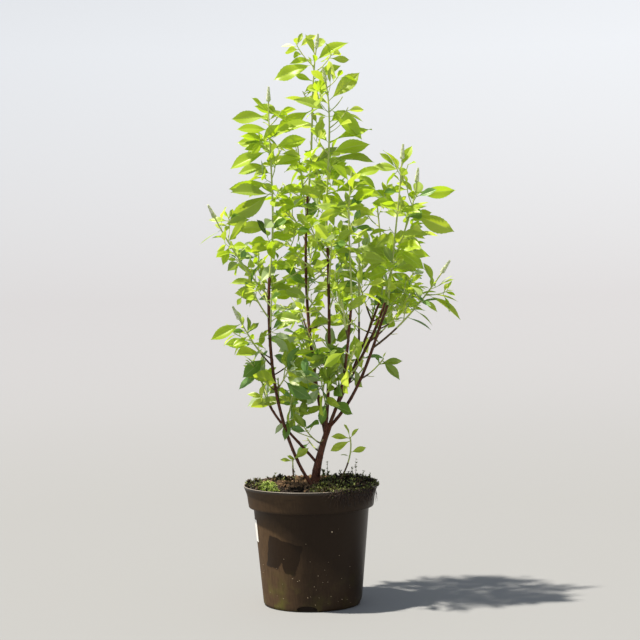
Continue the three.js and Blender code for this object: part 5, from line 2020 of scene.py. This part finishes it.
# %% Set the weeds
# each weed's place across and in depth, its height and its number of leaves
WEEDS = (
    (36, -8, 38, 4), (27, 0, 20, 8), (22, -14, 12, 7), (34, 4, 14, 7), (44, -20, 9, 7), (88, -4, 40, 5),
    (83, 2, 26, 4), (104, 8, 14, 4), (119, -10, 13, 4), (-76, -6, 15, 3), (58, 30, 14, 4),
    (-30, 56, 16, 3), (18, 62, 15, 4), (26, -14, 22, 12), (34, -30, 16, 10), (50, -34, 14, 9),
    (66, -20, 15, 8),
)
WEED_FOOT = 246.0
WEED_LEAN, STALK_BEND, LEAF_OFF = 5, 4, 1.5
STALK_RADII = (0.6, 0.4)
LOWEST_LEAF = 0.45
WEED_LEAF = (4.5, 7.5)
for x, y, height, leaves in WEEDS:
    foot = np.array([x, y, WEED_FOOT])
    tip = foot + (rng.uniform(-WEED_LEAN, WEED_LEAN), rng.uniform(-WEED_LEAN, WEED_LEAN), height)
    stalk = Line(foot, (foot + tip) / 2 + rng.uniform(-STALK_BEND, STALK_BEND, 3), tip)
    add_tube(beard, stalk, 6, 4, lambda t, around: between(STALK_RADII, t), slot=1)
    for t in np.linspace(LOWEST_LEAF, 1, leaves):
        place = stalk.at(t) + rng.uniform(-LEAF_OFF, LEAF_OFF, 3)
        add_tuft(beard, place, rng.uniform(*WEED_LEAF), rng, (1, 2, 3, 3, 4))
root_brown, tree = start_material("dry rootlet")
finish_material(tree, add_node(tree, "ShaderNodeBsdfPrincipled", {
    "Base Color": linear("#3a281a"), "Roughness": 0.85,
}))
root_dark, tree = start_material("damp rootlet and stalk")
finish_material(tree, add_node(tree, "ShaderNodeBsdfPrincipled", {
    "Base Color": linear("#231810"), "Roughness": 0.85,
}))
add_piece("roots_and_weeds", beard, [root_brown, root_dark, dark[1], dark[2], dark[4]])

# %% [markdown]
# ## The blank label
# A small white label of coated paper is stuck round the pot's left side. It carries nothing. It is a
# thin curved plate that follows the taper of the wall.

# %% Stick on the label
LABEL_BEARING = (155, 197)
LABEL_HEIGHT = (129, 173)
LABEL_GAP, LABEL_THICKNESS = 0.25, 0.4
LABEL_ROWS, LABEL_COLUMNS = 9, 15
label = Pile()
turns = np.radians(np.linspace(*LABEL_BEARING, LABEL_COLUMNS))
turns, heights = np.meshgrid(turns, np.linspace(*LABEL_HEIGHT, LABEL_ROWS))
for proud, order in ((LABEL_GAP + LABEL_THICKNESS, 1), (LABEL_GAP, -1)):
    radius = wall_radius(heights) + proud
    sheet = np.stack([radius * np.cos(turns), radius * np.sin(turns), heights], -1)
    label.add(sheet, sheet_faces(LABEL_ROWS, LABEL_COLUMNS)[:, ::order])
coated, tree = start_material("coated label paper")
finish_material(tree, add_node(tree, "ShaderNodeBsdfPrincipled", {
    "Base Color": linear("#f2f1ec"), "Roughness": 0.5,
}))
add_piece("blank_label", label, [coated])
